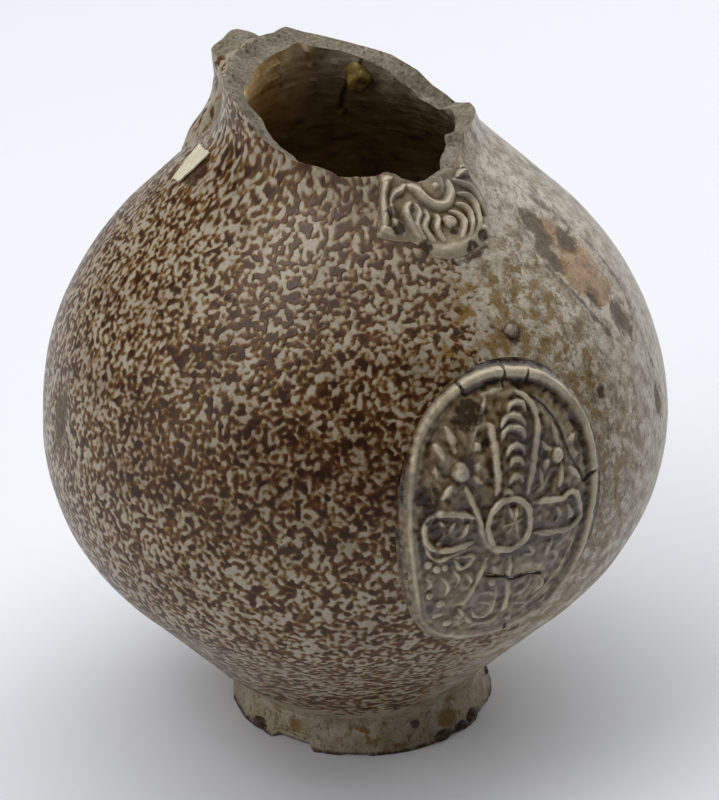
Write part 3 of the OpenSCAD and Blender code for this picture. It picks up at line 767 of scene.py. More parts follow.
# Chips in the lower edge, as side, half-width in degrees and height
chips = [(-62, 9, 1.9), (-33, 5, 0.6), (12, 7, 0.8), (38, 6, 0.7), (75, 9, 0.9), (128, 8, 0.8), (171, 10, 1),
         (-118, 8, 0.9)]
chip = sum(h * ease(np.abs(side - at), half_w + chip_out, half_w - chip_in) for at, half_w, h in chips)
chip = chip + chip_grain * np.abs(lumps(true_points, 3, 5))
low_edge = foot & (true_points[:, 2] < chip + chip_reach)
drawn_in = chip_inwards * chip[low_edge] / foot_r * ease(along[low_edge] * foot_h, chip_fade, 0)
shaped[low_edge, :2] *= (1 - drawn_in)[:, None]
shaped[low_edge, 2] += (chip * (1 - along) ** 2)[low_edge]
shaped[foot, :2] *= (1 + foot_swell * lumps(true_points[foot], 8, 6))[:, None]
set_points(jug, shaped)
print(int(low_edge.sum()), "points of the foot's edge are chipped")

# %% [markdown]
# Glaze outside, a grainy break on top and a wash inside: the finish follows the row that a face came from. The
# underside of the foot is bare.

# %% Give each face its finish
for finish in (tiger_glaze, bare_clay, washed_clay):
    jug.data.materials.append(finish)
GLAZE, BROKEN, WASH = range(3)
glazed_from = 0.4
finish_of = np.where(mid & (along < saddle_share) & (saddle(side) > glazed_from), OUTER, role)
for face in jug.data.polygons:
    roles = finish_of[list(face.vertices)]
    glazed = UNDERSIDE < roles.max() <= OUTER
    face.material_index = WASH if roles.min() >= INNER else GLAZE if glazed else BROKEN
print("break faces:", sum(face.material_index == BROKEN for face in jug.data.polygons))

# %% [markdown]
# ## The refitted sherd
#
# A piece of the neck at the back right was broken out and glued in again. Two boolean cuts with the same
# eight-sided cone make the sherd and the hole that it sits in. The second cone is moved outwards a little, which
# leaves a hairline joint all round.

# %% Cut the sherd out
joint_w = 0.08
sherd_half_angle = math.radians(22)
sherd_top = cove_end + neck_r
high, half, low = (cone_end - share * shoulder_len for share in (0.05, 0.6, 0.8))
sherd_outline = [(103, sherd_top), (101, high), (110, half), (130, low), (155.5, half), (150.5, high),
                 (140, cove_end), (138.5, sherd_top)]
sherd_middle = (127, cone_end)
sherd_apex = np.array([0, 0, neck_z + 0.8 * wall_t])
cone_reach = 2


def sherd_cone(shift):
    bpy.ops.object.select_all(action="DESELECT")
    bpy.ops.mesh.primitive_cone_add(
        vertices=len(sherd_outline), radius1=mm, depth=2 * mm, end_fill_type="TRIFAN")
    cone = bpy.context.object
    co = get_points(cone)
    ring = np.hypot(co[:, 0], co[:, 1]) > 0.5
    order = np.argsort(np.arctan2(co[ring, 0], co[ring, 1]))
    place = np.empty((ring.sum(), 3))
    place[order] = [sherd_apex + cone_reach * (on_wall(*p) - sherd_apex) for p in sherd_outline]
    middle = sherd_apex + cone_reach * (on_wall(*sherd_middle) - sherd_apex)
    tip = co[:, 2] > 0.5
    co[ring], co[tip], co[~ring & ~tip] = place, sherd_apex, middle
    set_points(cone, co + shift * (middle - sherd_apex) / np.linalg.norm(middle - sherd_apex))
    edit(cone)
    close_up(cone)
    cone.data.materials.append(bare_clay)
    return cone


def cut(obj, cone, operation):
    pick(obj)
    boolean = obj.modifiers.new("cut", "BOOLEAN")
    boolean.object, boolean.operation, boolean.solver = cone, operation, "EXACT"
    boolean.material_mode = "TRANSFER"
    bpy.ops.object.modifier_apply(modifier=boolean.name)
    bpy.data.objects.remove(cone)


pick(jug)
bpy.ops.object.duplicate()
sherd = bpy.context.object
sherd.name = "refitted_sherd"
cut(sherd, sherd_cone(joint_w / math.sin(sherd_half_angle)), "INTERSECT")
cut(jug, sherd_cone(0), "DIFFERENCE")
print("jug", len(jug.data.polygons), "faces, sherd", len(sherd.data.polygons), "faces")

# %% [markdown]
# Lines are drawn the way a potter trails slip: a few points, rounded into a curve, with a half-width. The same
# tool serves for the gritty edges of the scars here and for the figures of the pressed ornament further down.

# %% A stroke along a curve
def rounded(points, passes=2):
    """An open line with its corners cut off, again and again, until it is a curve."""
    line = np.array(points, float)
    for _ in range(passes):
        a, b = line[:-1], line[1:]
        cuts = np.stack([0.75 * a + 0.25 * b, 0.25 * a + 0.75 * b], 1).reshape(-1, 2)
        line = np.vstack([line[:1], cuts, line[-1:]])
    return line


def stroke(p, points, half_w, height=1.0):
    """A ridge along a curve, with soft flanks and thin ends."""
    line = rounded(points)
    near = np.all((p > line.min(0) - half_w) & (p < line.max(0) + half_w), 1)
    q = p[near]
    best, along, length = np.full(len(q), np.inf), np.zeros(len(q)), 0.0
    for a, b in zip(line, line[1:]):
        span = max(np.linalg.norm(b - a), 1e-6)
        t = np.clip((q - a) @ (b - a) / span ** 2, 0, 1)
        away = np.hypot(*(q - a - t[:, None] * (b - a)).T)
        along = np.where(away < best, length + t * span, along)
        best = np.minimum(best, away)
        length += span
    ends = np.clip(np.minimum(along, length - along) / min(3, 0.45 * length), 0, 1)
    ridge = np.zeros(len(p))
    ridge[near] = height * (0.5 + 0.5 * ends) * ease(best, half_w * (0.45 + 0.55 * np.sqrt(ends)), 0)
    return ridge


# %% [markdown]
# Now the values that the glaze reads are painted on the points: the iron wash covers the left and the back and
# fades out on the right, an ochre bloom lies where it fades, and the scars and stains follow the lists above.

# %% Paint the wash, the bloom and the marks
fade_waver = [(7, 14, 7), (4, 5, 8)]
# Sides between which the wash goes and comes back, and the ochre bloom comes and goes
wash_goes, wash_back = (-11, 13), (150, 110)
bloom_front, bloom_rear, bloom_rises = ((-16, 2), (42, 22)), ((100, 118), (156, 140)), (78, 62)
bloom_front_share, bloom_rear_share, bloom_foot_share = 0.85, 0.45, 0.2
band_z, band_h, band_sides = 102, 20, (-100, -55)
wash_most, band_more, root_less, root_rises = 0.96, 0.2, 0.1, (92, 100)
foot_fade, edge_share, edge_heights = 9, 0.75, (1.8, 0.4)
scar_soft, stain_soft, grit_dark = 0.8, 0.7, 0.7
crack_half_w, crack_gain, crack_most = 0.6, 1.4, 0.9


def unrolled(side, s, off=0.0):
    """Places on the wall laid out flat, as millimetres round the jug and up the wall."""
    return np.stack([np.radians(side) * (skin(s)[0] + off), s], -1)


def unrolled_stroke(at, s, line, half_w, off=0.0):
    """A stroke on the wall, or on a skin moved outwards by off."""
    return stroke(unrolled(at, s, off), unrolled(*np.array(line, float).T, off), half_w)


def paint_wall(obj):
    co = get_points(obj)
    at, s = side_of(co), rise_at(co[:, 2]) - np.clip(foot_h - co[:, 2], 0, None)
    turn = at + rough(co, fade_waver)
    fade = ease(turn, *wash_goes) * ease(turn, *wash_back)
    low = ease(co[:, 2], foot_h + foot_fade, foot_h)
    # Round the left of the belly at mid-height a band adds wash: partly thicker wash, partly painted shade
    wash_and_shade_band = np.exp(-((co[:, 2] - band_z) / band_h) ** 2) * ease(at, *band_sides)
    wash = wash_most + band_more * wash_and_shade_band - root_less * saddle(at) * ease(s, *root_rises)
    front, rear = (ease(turn, *comes) * ease(turn, *goes) for comes, goes in (bloom_front, bloom_rear))
    bloom = bloom_front_share * front * ease(s, *bloom_rises) + bloom_rear_share * rear
    grit = np.max([unrolled_stroke(at, s, line, 2 * w) for w, line in grit_lines], 0)
    edge = edge_share * ease(co[:, 2], *edge_heights)
    crack = unrolled_stroke(at, rise_at(co[:, 2], -wall_t), inner_crack, crack_half_w, -wall_t)
    paint(obj, wash=(1 - fade) * (1 - low) * wash,
          ochre=np.maximum(bloom * (1 - low), patches(at, s, pools)) + bloom_foot_share * low,
          scar=patches(at, s, scars, scar_soft), rust=patches(at, s, rusts, scar_soft),
          stain=np.maximum.reduce([patches(at, s, stains, stain_soft), grit_dark * grit, edge]),
          crack=np.minimum(crack_gain * crack, crack_most))


paint_wall(jug)
paint_wall(sherd)
hand_over(jug, "body")
hand_over(sherd, "neck_sherd")

# %% [markdown]
# ## Pressed ornament
#
# Both ornaments start as a flat grid whose rim is turned under and gathered, which makes a closed tablet. Its
# front is then raised by a list of strokes, beads and rings, as a mould carver would cut them, and the tablet is
# laid on the wall. Modelling it flat keeps the list readable: distances are plain millimetres.

# %% A closed tablet and the carver's marks
def clay_tablet(name, across, along):
    """A grid from -1 to 1 whose rim is folded under, to depth -1, and gathered at the centre."""
    bpy.ops.object.select_all(action="DESELECT")
    bpy.ops.mesh.primitive_grid_add(x_subdivisions=across, y_subdivisions=along, size=2 * mm)
    tablet = bpy.context.object
    tablet.name = name
    edit(tablet)
    bpy.ops.mesh.region_to_loop()
    bpy.ops.mesh.extrude_edges_move(TRANSFORM_OT_translate={"value": (0, 0, -mm)})
    for inner, outer in ((0.75, 1), (0.5, 0.75), (0.25, 0.5)):
        bpy.ops.mesh.extrude_edges_move(TRANSFORM_OT_translate={"value": (0, 0, 0)})
        bpy.ops.transform.resize(value=(inner / outer, inner / outer, 1), center_override=(0, 0, -mm))
    bpy.ops.mesh.merge(type="CENTER")
    return close_up(tablet)


def bead(p, at, r, height=1.0):
    away = np.hypot(*(p - np.array(at)).T)
    return height * np.sqrt(np.clip(1 - (away / r) ** 2, 0, None))


def oval_gap(p, half_w, half_l):
    """Rough distance from an oval's line, less than zero inside."""
    k = np.hypot(p[:, 0] / half_w, p[:, 1] / half_l) + 1e-6
    return (k - 1) * k / np.hypot(p[:, 0] / half_w ** 2, p[:, 1] / half_l ** 2).clip(1e-6)


def above_around(grid, reach=4, passes=3):
    """How far each point of a grid of heights stands above the mean of its surroundings."""
    mean = grid.copy()
    for _ in range(passes):
        for axis in (0, 1):
            padded = np.pad(mean, [(reach, reach) if a == axis else (0, 0) for a in (0, 1)], mode="edge")
            size, steps = mean.shape[axis], 2 * reach + 1
            mean = sum(np.take(padded, range(k, k + size), axis) for k in range(steps)) / steps
    return grid - mean


def tablet_grid(tablet):
    """Places across and along a tablet, from -1 to 1, and which points are its front."""
    flat = get_points(tablet)
    return flat[:, 0], flat[:, 1], flat[:, 2] > -0.5


back_tone, back_depth = 0.3, -0.4


def relief_tone_and_highlight(shape, x, y, front, plain, gain):
    """Tone of a tablet's points: lighter where the front stands above its surroundings (thin glaze and painted
    highlight), one tone behind.
    """
    order = np.lexsort((x[front], y[front]))
    across = len(np.unique(np.round(x[front], 4)))
    tone = np.full(len(x), back_tone)
    local = np.zeros(front.sum())
    local[order] = above_around(shape[front][order].reshape(-1, across)).ravel()
    tone[front] = plain + gain * local
    return tone


# %% [markdown]
# ### The medallion
#
# An oval with a rope-like frame. Inside are a standing column with crescents, a rosette on each side, a round
# boss with a star, a lobe with beads on each side of it, and leaves below. Its frame has cracked in drying.

# %% Carve the medallion
frame_w, frame_l, clay_edge = 24, 33, 3
medallion_side, medallion_rise, medallion_lean = -2, 9.5, math.radians(9.5)
# Strokes of the figures as half-width, height and points across and up the medallion
column = [
    (0.5, 0.5, [(-5.8, 27.6), (-6.6, 25.2), (-7.6, 22.2), (-9, 19.2)]),
    (0.5, 0.5, [(-6.5, 27.9), (-3.5, 28.8), (-1.2, 29.3)]),
    (0.9, 0.85, [(-7.2, 21.1), (-5.2, 21), (-4.9, 19), (-4.4, 15), (-3.8, 10.5), (-3.6, 6.8), (-4.1, 5.3)]),
    (0.85, 1, [(2.1, 28.3), (4.5, 26.7), (6.3, 24.1), (7.1, 21.4), (6.8, 18.3), (5.9, 14), (5, 9.7), (4.1, 5.2)])]
# Crescents and pearls as place across and up, and radius; the eyes of the rosettes also have a height
crescents = [(1.8, 25, 2.4), (0.6, 22, 3), (0.5, 19.3, 3), (0.9, 15.5, 2.4), (1.1, 12.7, 1.7), (1.1, 8.9, 1.7),
             (-1, 5.6, 1)]
left_rosette = [
    (1.05, 0.9, [(-9, 16), (-8, 16.8)]), (1, 0.7, [(-8.9, 12.2), (-7.9, 11.9)]),
    (0.6, 0.7, [(-9.6, 9.7), (-7.4, 8.3)]), (0.7, 0.9, [(-14.7, 7.7), (-15.6, 6.4), (-16.9, 4.7)]),
    (1.4, 0.8, [(-18.7, 10.7), (-18, 10.8)]), (0.8, 0.9, [(-18.4, 17), (-17.2, 15), (-16.6, 13.7)]),
    (0.9, 1, [(-15.5, 20.8), (-14.5, 18), (-13.8, 15.2)])]
right_rosette = [
    (0.8, 0.9, [(11.3, 19.7), (12, 17.5), (12.2, 15.2)]), (1.2, 0.7, [(16.5, 16.6), (16.9, 15.9)]),
    (1.1, 0.7, [(17.8, 12.3), (18, 11.7)]), (0.8, 0.9, [(15.6, 9.4), (17.3, 8.5), (18.8, 6.8)]),
    (0.8, 0.9, [(13.4, 10.8), (13.3, 8), (12.8, 5.7)]), (0.6, 0.8, [(7.9, 16.3), (9, 14.8), (10.2, 14.3)]),
    (0.6, 0.8, [(7.1, 10.4), (7.6, 8), (8.2, 6)]), (0.7, 0.7, [(9.6, 8.6), (8.6, 6.6), (6.4, 5.1)]),
    (0.7, 0.7, [(9.6, 11.8), (8.8, 11), (8.6, 10.2)])]
boss = [
    (0.5, 0.8, [(-1.6, 4), (-0.6, 1.6), (1.1, -1.2)]), (0.5, 0.8, [(1.1, 2.6), (1.2, -1.2)]),
    (0.5, 0.7, [(3.6, -0.6), (1.2, -1.3)]), (0.5, 0.7, [(-2, -2.2), (1.2, -1.4)]),
    (0.5, 0.6, [(1.3, -1.4), (2.3, -4.2)]), (0.5, 0.5, [(1, -1.5), (-1.2, -5)])]
lobes = [
    (0.75, 0.95, [(-8.9, 0.4), (-12.4, 0.9), (-15.7, 1.2), (-18.2, 1.1), (-20.3, -0.9), (-20.6, -3.7),
                  (-19.7, -6.1), (-17.6, -7.8), (-14.4, -7.7), (-11.7, -6.7), (-9, -5.6)]),
    (0.55, 0.6, [(-20.6, -5.6), (-19, -8.8), (-16.4, -10.6), (-13.8, -8.9), (-9.1, -6.9)]),
    (0.6, 0.8, [(-18.5, -1.7), (-16.9, -0.7), (-15.9, -2.6), (-16.2, -4.5), (-17.1, -6)]),
    (0.6, 0.8, [(-15.1, -4), (-14.1, -2.1), (-13.7, -1)]),
    (0.6, 0.8, [(-12.4, -4.5), (-11.3, -4), (-10.4, -1.2)]),
    (0.75, 0.95, [(5.8, 2.7), (9.1, 3), (13.8, 2.2), (15.4, 3.8), (17.9, 3.4), (19.7, 0.5), (20, -3.3),
                  (17.7, -5.2), (13.4, -5.3), (6.5, -4.5)]), (1, 0.6, [(7.5, -0.4), (7.9, -0.8)]),
    (0.6, 0.9, [(12.4, 1), (13.8, -1.3), (12.6, -2.7)]), (0.65, 0.9, [(15.6, 1), (17.2, -1.8), (15.7, -3.2)])]
leaves = [
    (0.75, 0.85, [(-11.5, 7.4), (-10.3, 5.3), (-9.3, 3), (-7.7, 0.1), (-6.9, -3.2), (-5.6, -6.2), (-2.3, -8.6)]),
    (0.7, 0.85, [(0.9, -9.4), (1.8, -12.9), (2.3, -16.1), (3.5, -19.7), (4.2, -24), (4.2, -27.2)]),
    (0.6, 0.7, [(-4.5, -9.7), (-5.6, -13.7), (-5.9, -18), (-7.2, -21.9), (-9, -22.4)]),
    (0.6, 0.7, [(-12.8, -9.4), (-7.7, -8.5), (-8.7, -11), (-10.7, -12.5), (-12.6, -10)]),
    (0.5, 0.6, [(-4.4, -24), (-2.9, -26.7), (-0.2, -27.1), (1.3, -24.1), (-0.3, -18)]),
    (0.5, 0.6, [(-6.1, -25), (-3.7, -28.6), (-0.2, -29.4), (3.3, -27.7), (4.8, -23.5)]),
    (0.6, 0.7, [(5.3, -7.2), (8.2, -10.1), (5.1, -9.7)]), (0.7, 0.7, [(12, -6.8), (11.8, -9), (11.2, -10.6)]),
    (0.6, 0.6, [(9, -16.6), (7.9, -19.8), (5.6, -21.2)]), (0.6, 0.6, [(12.3, -17.5), (13, -19), (11, -22)]),
    (0.7, 0.6, [(13.5, -10.2), (15.4, -11.6), (14.2, -13)]),
    (0.7, 0.6, [(8.6, -12.6), (10.8, -13), (10.2, -14.8)]),
    (0.5, 0.6, [(-18.3, -15.1), (-16.3, -16.9), (-17.9, -18.2)]),
    (0.5, 0.6, [(-14.6, -14.8), (-12.2, -17.2), (-12.6, -19.6)]),
    (0.5, 0.6, [(-12.1, -12.9), (-10.3, -14.5), (-10.5, -17.2)]),
    (0.5, 0.5, [(-9, -13.5), (-7, -15.8), (-7.9, -17.9)]),
    (0.5, 0.5, [(-3.7, -19.4), (-1.6, -18.8), (0.1, -20.9)]),
    (0.5, 0.6, [(-8.1, -23.7), (-6.3, -25), (-5.8, -27), (-7.3, -26)]),
    (0.5, 0.5, [(-3, -12), (-1.6, -12.8), (-0.4, -11.4)]), (0.5, 0.5, [(-3.4, -22), (-1, -22.4), (0, -23.6)]),
    (0.5, 0.5, [(6, -23.5), (8.5, -24.5), (11, -24)]),
    (0.45, 0.4, [(19.5, -8), (17.5, -14), (13.5, -21.5), (9.5, -26)])]
pearls = [(-18.7, -11.5, 1), (-16.4, -12.4, 0.9), (-16.4, -19.6, 0.9), (-13.1, -21.9, 1), (-12.6, -25.6, 1.1),
          (-9.2, -28, 1), (-1.8, -16.4, 0.9), (7, -28.5, 0.8), (-14.6, -12, 0.8)]
rosette_eyes = [(-12.7, 10.8, 2.3, 1.15), (12.3, 12.7, 1.8, 0.9)]
# Points of the frame as bearing and reach, a share of the true oval, and its drying cracks
frame_line = [(-180, 0.99), (-160, 0.975), (-146, 0.985), (-128, 1.05), (-112, 1.035), (-90, 1), (-67, 1.01),
              (-45, 1.03), (-24, 0.995), (-6, 0.965), (15, 1.01), (32, 1.035), (60, 1.005), (85, 0.985),
              (110, 1.015), (133, 1.04), (151, 1.06), (168, 1.015), (180, 0.99)]
crack_lines = [[(6.6, 26.3), (10.1, 23.2), (13.2, 18.8), (14.2, 15.5), (15.9, 11.7), (17.4, 9.7), (19.6, 7),
                (20.7, 5.4)], [(20.7, 5.4), (22, 6.3), (24, 7.6)], [(-1.2, 35.5), (-0.4, 32.3), (-1.2, 29.3)],
               [(-12.2, 31), (-10.3, 27.8)],
               [(-4.4, -14.3), (-1.7, -14.8), (1.4, -14.9), (2.8, -16.2), (5.5, -16), (8.5, -15.2),
                (11.7, -16.1)], [(5.6, 32.6), (5, 30.2)], [(6.8, -30.6), (8.3, -33.5)]]

stroke_swell, pearl_swell, pearl_h = 1.45, 1.1, 0.7
boss_place, boss_w, boss_l = (-0.2, -1.9), 5.4, 6.1
boss_ring_w, boss_ring_h, boss_dome = 0.85, 0.95, 0.25


def crescent(x, y, r):
    """Four points of an arc that is open below."""
    return [(x - r, y - 0.5 * r), (x - 0.6 * r, y + 0.3 * r), (x + 0.6 * r, y + 0.3 * r), (x + r, y - 0.5 * r)]


def medallion_figures(p):
    strokes = column + left_rosette + right_rosette + boss + lobes + leaves
    strokes += [(0.75, 0.95, crescent(*arc)) for arc in crescents]
    heights = [stroke(p, points, stroke_swell * half_w, height) for half_w, height, points in strokes]
    heights += [bead(p, (x, y), pearl_swell * r, pearl_h) for x, y, r in pearls]
    heights += [bead(p, (x, y), r, height) for x, y, r, height in rosette_eyes]
    ring = oval_gap(p - np.array(boss_place), boss_w, boss_l)
    heights += [boss_ring_h * np.sqrt(np.clip(1 - (ring / boss_ring_w) ** 2, 0, None)),
                boss_dome * ease(ring, 0.4, -0.8)]
    return np.max(heights, 0)


print("strokes:", sum(map(len, (column, left_rosette, right_rosette, boss, lobes, leaves, crescents))))

# %% [markdown]
# The square grid is first rounded to an oval. The frame is high and thick at the top and worn down at the lower
# left. The figures waver a little, as worn carving does, and the ground between them is uneven and folded.

# %% Raise the medallion
medallion = clay_tablet("oval_medallion", 176, 236)
x, y, front = tablet_grid(medallion)
p_x = (frame_w + clay_edge) * x * np.sqrt(1 - y * y / 2)
p_y = (frame_l + clay_edge) * y * np.sqrt(1 - x * x / 2)
p = np.stack([p_x, p_y], 1)
bearing = np.degrees(np.arctan2(p_y / frame_l, p_x / frame_w))
gap = oval_gap(p / np.interp(bearing, *zip(*frame_line))[:, None], frame_w, frame_l)
quarters = [-180, -135, -90, -45, 0, 45, 90, 135, 180]
frame_high = np.interp(bearing, quarters, [0.36, 0.32, 0.32, 0.5, 0.72, 0.92, 1.05, 0.66, 0.36])
frame_thick = np.interp(bearing, quarters, [0.46, 0.45, 0.5, 0.7, 0.85, 0.95, 1, 0.7, 0.46])
flank_in, flank_out, crest = 1.6, 2, 0.2
outer_line_h, outer_line_gap, outer_line_w = 0.22, 2.2, 0.8
ridge = frame_high * ease(np.abs(gap) / frame_thick, np.where(gap < 0, flank_in, flank_out), crest)
ridge += outer_line_h * ease(np.abs(gap - outer_line_gap), outer_line_w, 0) * ease(p_x, -4, -14)

# Heights in millimetres: bare edge, bank up to the frame, sunk field, frame, figures, folds and cracks
edge_h, bank_h, field_sunk, ridge_h, figure_h, fold_h, crack_depth = 0.2, 0.6, 0.35, 1.05, 1.05, 0.3, 0.8
figure_waver, crack_half_w = 0.25, 0.7
field = ease(gap, -1, -2.2)
worn = np.column_stack([p, np.zeros(len(p))])
figures = medallion_figures(p + figure_waver * np.column_stack([lumps(worn, 3, 15), lumps(worn, 3, 16)]))
figures *= ease(gap, -0.6, -1.6) * (0.85 + 0.8 * lumps(worn, 2.6, 17))
folds = 0.5 - np.abs(lumps(worn, 2.4, 33))
cracks = np.max([stroke(p, points, crack_half_w) for points in crack_lines], 0)
shape = edge_h + bank_h * ease(gap, clay_edge, 0.8) - field_sunk * field
shape += ridge * (ridge_h + 0.25 * lumps(worn, 4, 18)) + figure_h * figures
shape += 0.2 * lumps(worn, 1.6, 9) + field * (0.3 * lumps(worn, 4.5, 10) + fold_h * folds) - crack_depth * cracks
print("medallion", len(p), "points, relief up to", round(shape[front].max(), 2), "mm")

# %% [markdown]
# Brown wash gathered in the groove outside the frame and in a few deep places. Along the right inside of the
# frame the same dark brown is painted shade. The tablet is then turned by its slight lean and laid on the belly.

# %% Paint it and lay it on the wall
plain_tone, relief_gain, crack_dark, frame_dark = 0.48, 1.15, 0.5, 0.22
wash_all_over, wash_caught = 0.4, 0.7
tone = relief_tone_and_highlight(shape, x, y, front, plain_tone, relief_gain)
tone[front] -= crack_dark * cracks[front]
tone -= frame_dark * ridge * ease(p_y, 24, 8)
# The groove outside the frame, at the upper left, holds brown wash; inside it, at the right, lies painted shade
groove_out, shaded_groove_in = 2.3, -2.4
upper_left = np.maximum(p_y - 0.3 * p_x, 0.5 * p_y - 1.2 * p_x)
caught = 0.8 * ease(np.abs(gap - groove_out), 1.4, 0.3) * ease(upper_left, -5, 14)
# Painted shade along the right inside of the frame, painted as caught wash
caught += 0.9 * ease(np.abs(gap - shaded_groove_in), 1.3, 0.2) * ease(p_x, 2, 12)
# Deep places as across, up and radius
deep_places = [(-10.3, 23.6, 4), (-20.1, 4.9, 3.4), (-19.5, -0.3, 2), (-16.8, -3.4, 2.4), (11.9, -0.9, 1.2),
               (15.8, -28, 1.9)]
for x0, y0, r in deep_places:
    caught += 1.15 * ease(np.hypot(p_x - x0, p_y - y0), r + 1.5, r - 1.5)
paint(medallion, height=tone, wash=wash_all_over + wash_caught * caught)
c, n = math.cos(medallion_lean), math.sin(medallion_lean)
u, v = (p @ np.array([[c, -n], [n, c]])).T
s = medallion_rise + v
lift = np.where(front, shape, back_depth)
set_points(medallion, on_clay(medallion_side + np.degrees(u / skin(s)[0]), s, lift))
medallion.data.materials.append(sprig_clay)
hand_over(medallion, "medallion_sprig", angle=60)

# %% [markdown]
# ### The beard
#
# Only the beard of the moulded mask is left under the break: a lip-shaped lobe with strands that hang from it in
# S curves, curls on the right, a plain bar on the left and a smooth lip of clay below.

# %% Carve the beard
mm_per_degree = 0.68
beard_low = [(-21, 78.5), (-20.5, 77.6), (-14, 76.2), (-10, 75.8), (-8, 74.8), (-6, 73), (-3.5, 71), (0.5, 69.8),
             (5.5, 69.6), (11, 70.4), (17.5, 71.5), (22.5, 76.2), (24.5, 79.4), (27.5, 84.2)]
# Locks as half-width, height and points of side and rise
bar = [
    (1.1, 0.9, [(-13, 91.2), (-15.5, 88.4), (-16.5, 86.2), (-16.5, 83), (-17, 80.4), (-17.5, 79.2)]),
    (1, 0.6, [(-15.5, 90.6), (-11.5, 91)]),
    (1, 0.9, [(-21, 79), (-19, 79.4), (-17, 79), (-15.5, 77.8), (-14, 76.6)]),
    (0.8, 0.7, [(-20.5, 78.2), (-17.5, 77.4), (-14, 76.6)])]
lobe = [
    (0.9, 0.9, [(-6.5, 88.8), (-8.5, 87.8), (-11, 87.4), (-12.5, 86.8), (-13.5, 85.4)]),
    (1.3, 1.1, [(-5, 88.4), (-2, 87.2), (-0.5, 85.4), (1.5, 83.4), (4, 82.2), (7, 81.8), (10, 82.8), (12.5, 84.6),
                (13, 86.6)])]
strands = [
    (0.9, 0.7, [(-13.5, 85.4), (-13.5, 83.2), (-13.5, 81), (-12.5, 78.8), (-11, 77.2)]),
    (0.95, 0.9, [(-6, 84.4), (-8.5, 83.2), (-8.5, 81.4), (-8, 79.6), (-7, 77.6), (-6.5, 76.2)]),
    (0.95, 0.95, [(-4, 83.6), (-3.5, 81.8), (-5.5, 80.2), (-6.5, 79), (-6, 77.4), (-5, 75.6)]),
    (0.95, 1, [(-1.5, 81.8), (-1.5, 80.2), (-3.5, 79), (-4.5, 77.8), (-3.5, 76.2), (-2.5, 74.4)]),
    (0.85, 0.95, [(2, 80.2), (2, 79), (0, 77.6), (0, 76), (1, 74)]),
    (0.75, 0.9, [(3.5, 78.4), (5, 79), (7, 78.4), (7.5, 77.4), (6, 76.8)]),
    (0.85, 1, [(7.5, 80.2), (10, 79), (11, 77.2), (10, 75.6), (7.5, 73.6)]),
    (0.85, 1, [(11.5, 81.2), (14, 80.4), (15, 78.2), (13.5, 75.8), (10.5, 73.4)]),
    (0.85, 1, [(14.5, 83.2), (18, 82.2), (19, 79.8), (17.5, 77.2), (16, 75), (13.5, 73.4)]),
    (0.85, 1, [(16, 86.6), (19, 85), (21.5, 83.2), (22, 81.6), (21, 79), (20.5, 76.4)]),
    (0.85, 1, [(18, 87), (21, 87.6), (24, 87.2), (25, 85.8), (24.5, 84.6)]),
    (0.65, 0.9, [(22, 88.6), (25.5, 88.2), (26.5, 86.8), (26, 84.2), (24.5, 81), (22.5, 78.4), (21.5, 76.8)]),
    (0.9, 0.8, [(15, 74.2), (16.5, 73.8), (17, 72.8), (17.5, 72.2)])]
# Berries as side, rise, radius and height, and brown spots as side, rise and radius
berries = [(6, 86.8, 3.4, 0.4), (6, 86.8, 1, 0.9), (5.5, 77.8, 1.5, 0.8)]
brown_spots = [(-13, 82.8, 1.5), (-12.5, 79, 1.3), (-5.5, 73.8, 1.5), (9.5, 70.8, 1.6), (15, 72, 1.6),
               (5.5, 75.5, 1)]
print("locks:", len(bar + lobe + strands), "berries:", len(berries))

# %% [markdown]
# The tablet's grid runs from the beard's lower line up to the break, so the pressed clay ends where the neck
# does. The locks are raised from it as on the medallion, fade out towards the smooth lip, and sink to the wall at
# the sides.

# %% Raise the beard, paint it and lay it on the wall
beard_left, beard_left_lean, beard_right, under_break = -20.5, 4, 27.5, 0.15
edge_h, ground_h, lock_h, lock_swell, lip_h, lip_side = 0.15, 0.55, 1.45, 1.4, 0.25, 5.5
beard = clay_tablet("moulded_beard", 132, 104)
x, y, front = tablet_grid(beard)
y = (y + 1) / 2
at_side = (1 - x) / 2 * (beard_left + beard_left_lean * y) + (1 + x) / 2 * beard_right
low = np.interp(at_side, *zip(*beard_low))
s = low + (rise_at(break_z(at_side)) - under_break - low) * y
p = np.stack([at_side * mm_per_degree, s], 1)


def flat_line(line):
    """A line of sides and rises in plain millimetres."""
    return [(a * mm_per_degree, b) for a, b in line]


locks = [stroke(p, flat_line(line), lock_swell * w, h) for w, h, line in bar + lobe + strands]
locks = np.max(locks + [bead(p, (a * mm_per_degree, b), r, h) for a, b, r, h in berries], 0)
inset = np.minimum.reduce([ease(1 - x, 0, 0.22), ease(1 + x, 0, 0.1), ease(s - low, 0, 2.6)])
lip = ease(s - low, 4.6, 2) * ease(np.abs(at_side - lip_side), 13, 8)
worn = np.column_stack([p, 0 * s])
shape = edge_h + ground_h * inset + lip_h * lip * inset + 0.1 * lumps(worn, 2, 11)
shape += lock_h * inset * locks * (1 - 0.8 * lip) * (1 + 0.3 * lumps(worn, 4, 19))
plain_tone, relief_gain, lip_light = 0.63, 0.75, 0.1
wash_all_over, wash_left, wash_caught = 0.5, 0.25, 0.8
tone = relief_tone_and_highlight(shape, x, y, front, plain_tone, relief_gain)
tone[front] += lip_light * lip[front]
caught = np.max([ease(np.hypot(*(p - np.array((a * mm_per_degree, b))).T), r + 1, r - 1)
                 for a, b, r in brown_spots], 0)
paint(beard, height=tone, wash=wash_all_over + wash_left * ease(at_side, 0, -20) + wash_caught * caught)
set_points(beard, on_clay(at_side, s, np.where(front, shape, back_depth)))
beard.data.materials.append(sprig_clay)
hand_over(beard, "beard_sprig", angle=60)

# %% [markdown]
# ## The root of the handle
#
# The handle was a pulled strap. It is snapped off just above the place where it leaves the neck, so a thin, domed
# tongue stands up there and spreads into the shoulder below. The mesh is a circle extruded into a tube, with both
# ends gathered. The rings are then given the width and thickness of the strap at their level.

